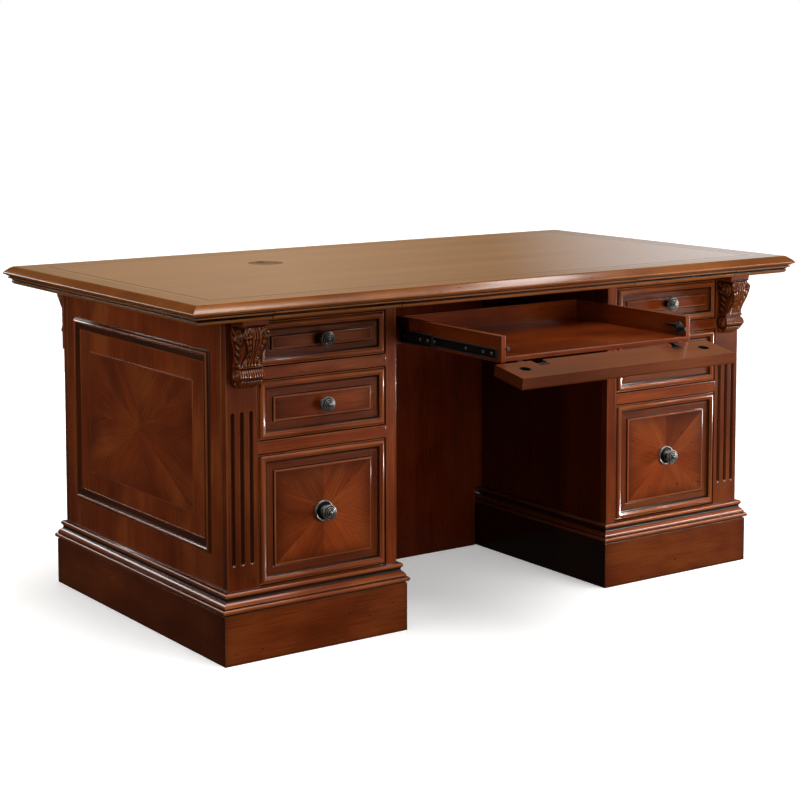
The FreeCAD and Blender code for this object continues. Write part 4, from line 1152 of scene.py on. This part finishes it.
def leaf_tip(out, drop):
    """A long egg that leans by 0.9, at a place given by its distances from the tip's middle."""
    return dome(out + 0.9 * drop, drop - 0.9 * out, 12.0, 4.0)


def flank_relief(out, drop):
    """The carving on a flank, out from the wall: two volutes, with leaf tips down the stem between."""
    upper = 5.0 * spiral(out - 33, drop - 33, 17.0, 7.0)
    lower = 4.6 * spiral(out - 17, drop - 116, 13.0, 6.0)
    point = 3.4 * dome(out - 6, drop - 138, 6.0, 7.0)
    tips = [3.2 * leaf_tip(out - tip_out, drop - tip_drop) for tip_out, tip_drop in LEAF_TIPS]
    return np.maximum.reduce([upper, lower, point, *tips]) - 1.0


print(len(LEAF_TIPS), "leaf tips on each flank")

# %% Carve the corbels
CORBEL_TALL = 145
CORBEL_LINE = np.array([
    (0, 50, 31), (11, 50, 31), (12.5, 47, 29), (15, 47, 28.5), (24, 52, 30.5), (36, 54, 30.5),
    (50, 51, 27.5), (64, 44, 25), (78, 36, 24), (90, 30.5, 25.5), (95, 30, 27.5), (98, 31.5, 28.5),
    (101, 28, 26), (104, 28.5, 26), (110, 33, 28), (118, 34.5, 28.5), (126, 32, 27.5), (133, 27, 26),
    (138, 20, 23), (142, 13, 19), (CORBEL_TALL, 8, 15),
])
PLATE_THICK, PLATE_TALL = 8.0, 156.0


def corbel(middle, wall, way, top):
    """A corbel on a wall, as a band in plan carried down its height, with the relief along its outside.

    CORBEL_LINE gives its reach from the wall and its half width at each drop from the top."""
    flank, face = 52, 104
    path_x = np.concatenate([np.full(flank, -1.0), np.linspace(-1, 1, face), np.full(flank, 1.0)])
    path_y = np.concatenate([np.linspace(0, 1, flank), np.ones(face), np.linspace(1, 0, flank)])
    path = running_mean(np.stack([path_x, path_y], 1), 2.6)
    path[:, 1] = np.clip(path[:, 1], 0, 1)
    drop = np.linspace(0, CORBEL_TALL, 215)[:, None]
    drops, reaches, widths = CORBEL_LINE.T
    reach = running_mean(np.interp(drop, drops, reaches), 1.5)
    width = running_mean(np.interp(drop, drops, widths), 1.5)
    ahead = np.gradient(path * (28.0, 42.0), axis=0)
    outward = np.stack([-ahead[:, 1], ahead[:, 0]], 1) / np.hypot(*ahead.T)[:, None]
    front_share = smooth_step(0.3, 0.9, outward[:, 1])
    u, out = path[:, 0] + 0 * drop, path[:, 1] * reach
    relief = front_share * leaf_relief(u, drop) + (1 - front_share) * flank_relief(out, drop)
    relief = relief * smooth_step(12, 15, drop) * smooth_step(0.02, 0.15, path[:, 1])
    mean = running_mean(running_mean(relief, 5.0).T, 5.0).T
    points = np.zeros(u.shape + (3,))
    points[..., X] = middle + path[:, 0] * width + relief * outward[:, 0]
    points[..., Y] = wall + way * np.maximum(out + relief * outward[:, 1], 0.0)
    points[..., Z] = top - drop
    faces = band_faces(*u.shape)
    flat = points.reshape(-1, 3)
    # The hollows of the carving darken, as glaze and painted shade, and its high points are rubbed.
    glaze_and_shade = np.clip((mean - relief) / 0.5 + 0.12, 0, 1).ravel()
    ridge = np.clip((relief - mean) / 0.7, 0, 1).ravel()
    skin = surface_of(flat, faces, flat[:, [Z, X]][faces], glaze_and_shade=glaze_and_shade, ridge=ridge)
    return joined(skin, plain(points[0], LEVEL, X), plain(points[-1], LEVEL, X))


low, high = box_mm("corbels_left")
corbel_middle = (low[X] + high[X]) / 2
post_low, post_high = box_mm("pilasters_left")
before = corbel(corbel_middle, post_low[Y], -1.0, high[Z])
behind = corbel(corbel_middle, post_high[Y] + PLATE_THICK, 1.0, high[Z])
plate_low = (post_low[X], post_high[Y], high[Z] - PLATE_TALL)
plate = board(plate_low, (post_high[X], post_high[Y] + PLATE_THICK, high[Z]), Z)
corbels = joined(before, behind, plate)
make_pair("carved_corbels", corbels, "corbels", case_cherry, crisp=60.0)
print("corbel faces:", sum(len(face) for face in corbels["faces"]))

# %% [markdown]
# ## Knobs
# The knobs are turned castings with concentric rings and a bright boss. Anything turned is a profile of
# radius and height swept about an axis, and the same marks let the rings wear bright.

# %% Turn a profile
AROUND = 64


def turned(outline, centre, axes, base, way, around=AROUND):
    """A profile of (radius, height) points swept about an axis, from its back to its front."""
    cut = worked(np.array(outline, float) * (-1, 1), ease=0.2, step=0.3)
    radius, height = np.maximum(-cut["rows"][:, :1], 0.0), cut["rows"][:, 1:]
    angle = np.linspace(0, 2 * math.pi, around, endpoint=False)
    points = np.zeros((len(radius), around, 3))
    points[:, :, axes[0]] = centre[0] + radius * np.cos(angle)
    points[:, :, axes[1]] = centre[1] + radius * np.sin(angle)
    points[:, :, axes[2]] = base + way * height
    faces = band_faces(len(radius), around)
    flat = points.reshape(-1, 3)
    glaze_and_shade, ridge = (np.repeat(cut[key], around) for key in ("glaze_and_shade", "ridge"))
    return surface_of(flat, faces, flat[:, [axes[0], axes[1]]][faces], glaze_and_shade=glaze_and_shade, ridge=ridge)


print("turned pieces have steps of", 360 / AROUND, "degrees")

# %% Turn the knobs
KNOB_TALL = 28
KNOB = profile(
    (0, 0), (9, 0), (9, 1.6), (7.4, 2.6), (6.2, 4.5), (6, 9), (6.6, 12), (9.5, 14.2), (15.5, 15.6),
    (17, 17.6), (17, 19.4), (16.2, 21.2), (14.6, 22.0), (13.4, 21.4), (12.6, 21.6), (11.6, 23.4),
    (10.2, 23.9), (9.0, 23.0), (8.4, 23.2), (7.4, 25.0), (6.2, 25.3), (5.2, 24.4), (4.6, 25.2),
    (3.6, 27.0), (2.0, 27.8), (0, KNOB_TALL),
)
BACKPLATE = profile(
    (0, 0), (23, 0), (23, 2.0), (22, 3.6), (20.6, 4.0), (19.2, 3.2), (18.2, 2.2), (16, 2.4), (12, 3.2),
    (10.4, 4.0), (0, 4.0),
)
for drawer in DRAWERS:
    low, high = box_mm(f"{drawer}_drawer_knob_left")
    centre = ((low[X] + high[X]) / 2, (low[Z] + high[Z]) / 2)
    parts = [turned(KNOB, centre, UPRIGHT, low[Y] + KNOB_TALL, -1.0)]
    if drawer == "file":
        parts.append(turned(BACKPLATE, centre, UPRIGHT, high[Y], -1.0))
    solid = f"{drawer}_drawer_knob"
    make_pair(f"ringed_knob_{drawer}", joined(*parts), solid, old_bronze)
print("knobs:", 2 * len(DRAWERS))

# %% [markdown]
# ## Tray
# The tray is a shallow open box of four boards and a floor, with eased edges. Its grain runs along each
# board. The boards keep a hair apart, so that the weld joins no two of them.

# %% Make the tray
WALL = 11.0
INSIDE = WALL + 0.05
low, high = box_mm("tray_box")
floor_low, floor_high = low[Z] + 2.0, low[Z] + 12.0
tray = joined(
    board((low[X], low[Y], low[Z]), (low[X] + WALL, high[Y], high[Z]), Y),
    board((high[X] - WALL, low[Y], low[Z]), (high[X], high[Y], high[Z]), Y),
    board((low[X] + INSIDE, high[Y] - WALL, low[Z]), (high[X] - INSIDE, high[Y], high[Z]), X),
    board((low[X] + INSIDE, low[Y], floor_low), (high[X] - INSIDE, high[Y] - INSIDE, floor_high), X),
)
make_piece("tray_boards", tray, "tray_box", tray_cherry)
print("tray", (high - low).round(1), "mm")

# %% [markdown]
# ## Drop front
# The drop front is a panelled board like the drawer fronts, but swung down, notched for its hinges and
# bored for the catches. One grid can't give all these cuts, so it is a copy of the solid's mesh whose
# sharp edges are eased by a small bevel, as a sanding block would do. Its long narrow edges that face
# front and back are darker: painted shade.

# %% Ease the drop front
# How much darker the edges that face front and back are: painted shade.
EDGE_SHADE = -0.35
flap_mesh = frame["nodes"]["flap"].data.copy()
flap_mesh.name = "eased_flap"
shell = bmesh.new()
shell.from_mesh(flap_mesh)
bmesh.ops.remove_doubles(shell, verts=shell.verts, dist=WELD)
bmesh.ops.dissolve_limit(shell, angle_limit=math.radians(1.0), verts=shell.verts, edges=shell.edges)
shell.to_mesh(flap_mesh)
shell.free()
flap_mesh.polygons.foreach_set("use_smooth", np.zeros(len(flap_mesh.polygons), bool))
normals = np.zeros(3 * len(flap_mesh.polygons), np.float32)
flap_mesh.polygons.foreach_get("normal", normals)
edge_shade = EDGE_SHADE * (np.abs(normals.reshape(-1, 3)[:, Y]) > 0.7)
flap_mesh.attributes.new("tone_and_shading", "FLOAT", "FACE").data.foreach_set("value", edge_shade)
flap = stand_in("eased_flap", flap_mesh, "flap", shaded_flap_cherry)
easing = flap.modifiers.new("easing", "BEVEL")
easing.width = 0.0011
easing.segments = 2
easing.limit_method = "ANGLE"
easing.angle_limit = math.radians(40.0)
print("drop front of", len(flap_mesh.polygons), "faces")

# %% [markdown]
# ## Slides
# The tray runs on telescopic slides. Each member is a strip of steel rolled to a channel, so it is again
# a profile round a rectangle: a flange that stands round a flat web, with screw heads along the web.

# %% Roll the slides
FLANGE = 4.0
SCREW_SEAT = 2.2
CHANNEL = worked([(3, 0), (0, 0), (0, FLANGE), (2.2, FLANGE), (2.6, 1.8), (6, 1.8)], ease=0.25)
CHANNEL = {**CHANNEL, "ridge": 0.12 * CHANNEL["ridge"]}
SCREW = profile((0, 0), (3.4, 0), (3.2, 1.0), (2.2, 1.6), (1.4, 1.1), (0, 1.0))
SCREW_SHARES = (0.05, 0.13, 0.30, 0.62, 0.86, 0.95)


def both_hands(surface):
    """A surface on the left together with its mirror image on the right."""
    return joined(surface, {**surface, "points": surface["points"] * (-1, 1, 1)})


for member in ("inner", "middle", "outer"):
    low, high = box_mm(f"slide_{member}")
    strip = ring(low[1:], high[1:], SIDEWAYS, CHANNEL, low[X] + FLANGE, way=-1.0)
    faces = [plain(loop, SIDEWAYS, Y) for loop in strip["loops"]]
    places = [(low[Y] + share * (high[Y] - low[Y]), (low[Z] + high[Z]) / 2) for share in SCREW_SHARES]
    screws = [turned(SCREW, place, SIDEWAYS, low[X] + SCREW_SEAT, -1.0, around=24) for place in places]
    strips = both_hands(joined(strip, *faces, *screws))
    make_piece(f"rolled_slide_{member}", strips, f"slide_{member}", black_steel)
print("slide members with", len(SCREW_SHARES), "screws each")

# %% [markdown]
# ## Catches and hinge arms
# Each tray wall carries a cast catch: a lobed rosette with a leaf that tapers to the rear, and a nub that
# snaps into the cup of the drop front. The hinge arms are bent straps under the floor. The rosette is a
# turned profile whose radius also waves with the angle.

# %% Shape the catches
tray_low, _ = box_mm("tray_box")
CATCH_FACE = tray_low[X] + WALL
CATCH_Y, CATCH_Z = tray_low[Y] + 21.0, 656.5
ROSETTE = profile(
    (0, 0), (13.2, 0), (13.8, 2.0), (11.8, 4.6), (10.2, 4.0), (8.6, 6.4), (6.4, 5.6), (4.0, 8.0), (0, 8.4),
)
NUB_RADIUS = 4
NUB = profile((0, 0), (NUB_RADIUS, 0), (NUB_RADIUS, 23.5), (3, 25), (0, 25))


def waved(surface, middle, waves, depth):
    """A turned surface whose radius swells by depth with the cosine of its angle times waves."""
    points = surface["points"].copy()
    y, z = points[:, Y] - middle[0], points[:, Z] - middle[1]
    swell = 1 + depth * np.cos(waves * np.arctan2(z, y)) * np.clip((np.hypot(y, z) - 4) / 6, 0, 1)
    points[:, Y] = middle[0] + y * swell
    points[:, Z] = middle[1] + z * swell
    return {**surface, "points": points}


def leaf(length, height, thick):
    """A strap that tapers to a point at the rear, behind the rosette on the left wall."""
    z0 = CATCH_Z + 5.0
    leaf_low = (CATCH_FACE, CATCH_Y, z0 - height / 2)
    strap = board(leaf_low, (CATCH_FACE + thick, CATCH_Y + length, z0 + height / 2), Y, ease=0.9)
    points = strap["points"].copy()
    share = np.clip((points[:, Y] - CATCH_Y) / length, 0, 1)
    width = np.interp(share, [0.0, 0.45, 0.62, 1.0], [0.8, 0.7, 1.1, 0.08])
    points[:, Z] = z0 + (points[:, Z] - z0) * width
    points[:, X] = CATCH_FACE + (points[:, X] - CATCH_FACE) * (1 - 0.6 * share)
    return {**strap, "points": points}


rosette = turned(ROSETTE, (CATCH_Y, CATCH_Z), SIDEWAYS, CATCH_FACE, 1.0, around=84)
rosette = waved(rosette, (CATCH_Y, CATCH_Z), 7, 0.09)
nub = turned(NUB, (CATCH_FACE + NUB_RADIUS, CATCH_Z), UPRIGHT, CATCH_Y, -1.0, around=32)
print("catches at", CATCH_Y.round(1), CATCH_Z)

# %% Bend the arms and make the fittings of the tray
PIN_Y, PIN_Z = -542.15, 615.5
EYE_HALF = 4.5
ARM_REACH = 45.0
ARM_SIDES = (-223.5, -208.5)


def strap_of(outline, sides):
    """A closed outline in Y and Z, eased and drawn out along X between two sides."""
    rows = worked(outline, closed=True, ease=0.4)["rows"]
    around = len(rows)
    points = np.zeros((2, around, 3))
    points[..., X] = np.array(sides)[:, None]
    points[..., Y:] = rows
    faces = band_faces(2, around)
    flat = points.reshape(-1, 3)
    wall = surface_of(flat, faces, flat[:, [Y, Z]][faces])
    return joined(wall, plain(points[0], SIDEWAYS, Y), plain(points[1], SIDEWAYS, Y))


arm_outline = [
    (tray_low[Y] + ARM_REACH, tray_low[Z] + 2.0),
    (tray_low[Y] - 3.0, tray_low[Z] + 2.0),
    (PIN_Y - EYE_HALF, PIN_Z + EYE_HALF),
    (PIN_Y - EYE_HALF, PIN_Z - EYE_HALF),
    (PIN_Y + EYE_HALF, PIN_Z - EYE_HALF),
    (tray_low[Y] + 3.0, tray_low[Z] - 1.0),
    (tray_low[Y] + ARM_REACH, tray_low[Z] - 1.0),
]
fittings = joined(rosette, leaf(46.0, 9.0, 8.0), nub, strap_of(arm_outline, ARM_SIDES))
fittings = both_hands({**fittings, "ridge": 0.25 * fittings["ridge"]})
make_piece("cast_catches", fittings, "tray_fittings", black_steel)
print("fittings of", sum(len(face) for face in fittings["faces"]), "faces")
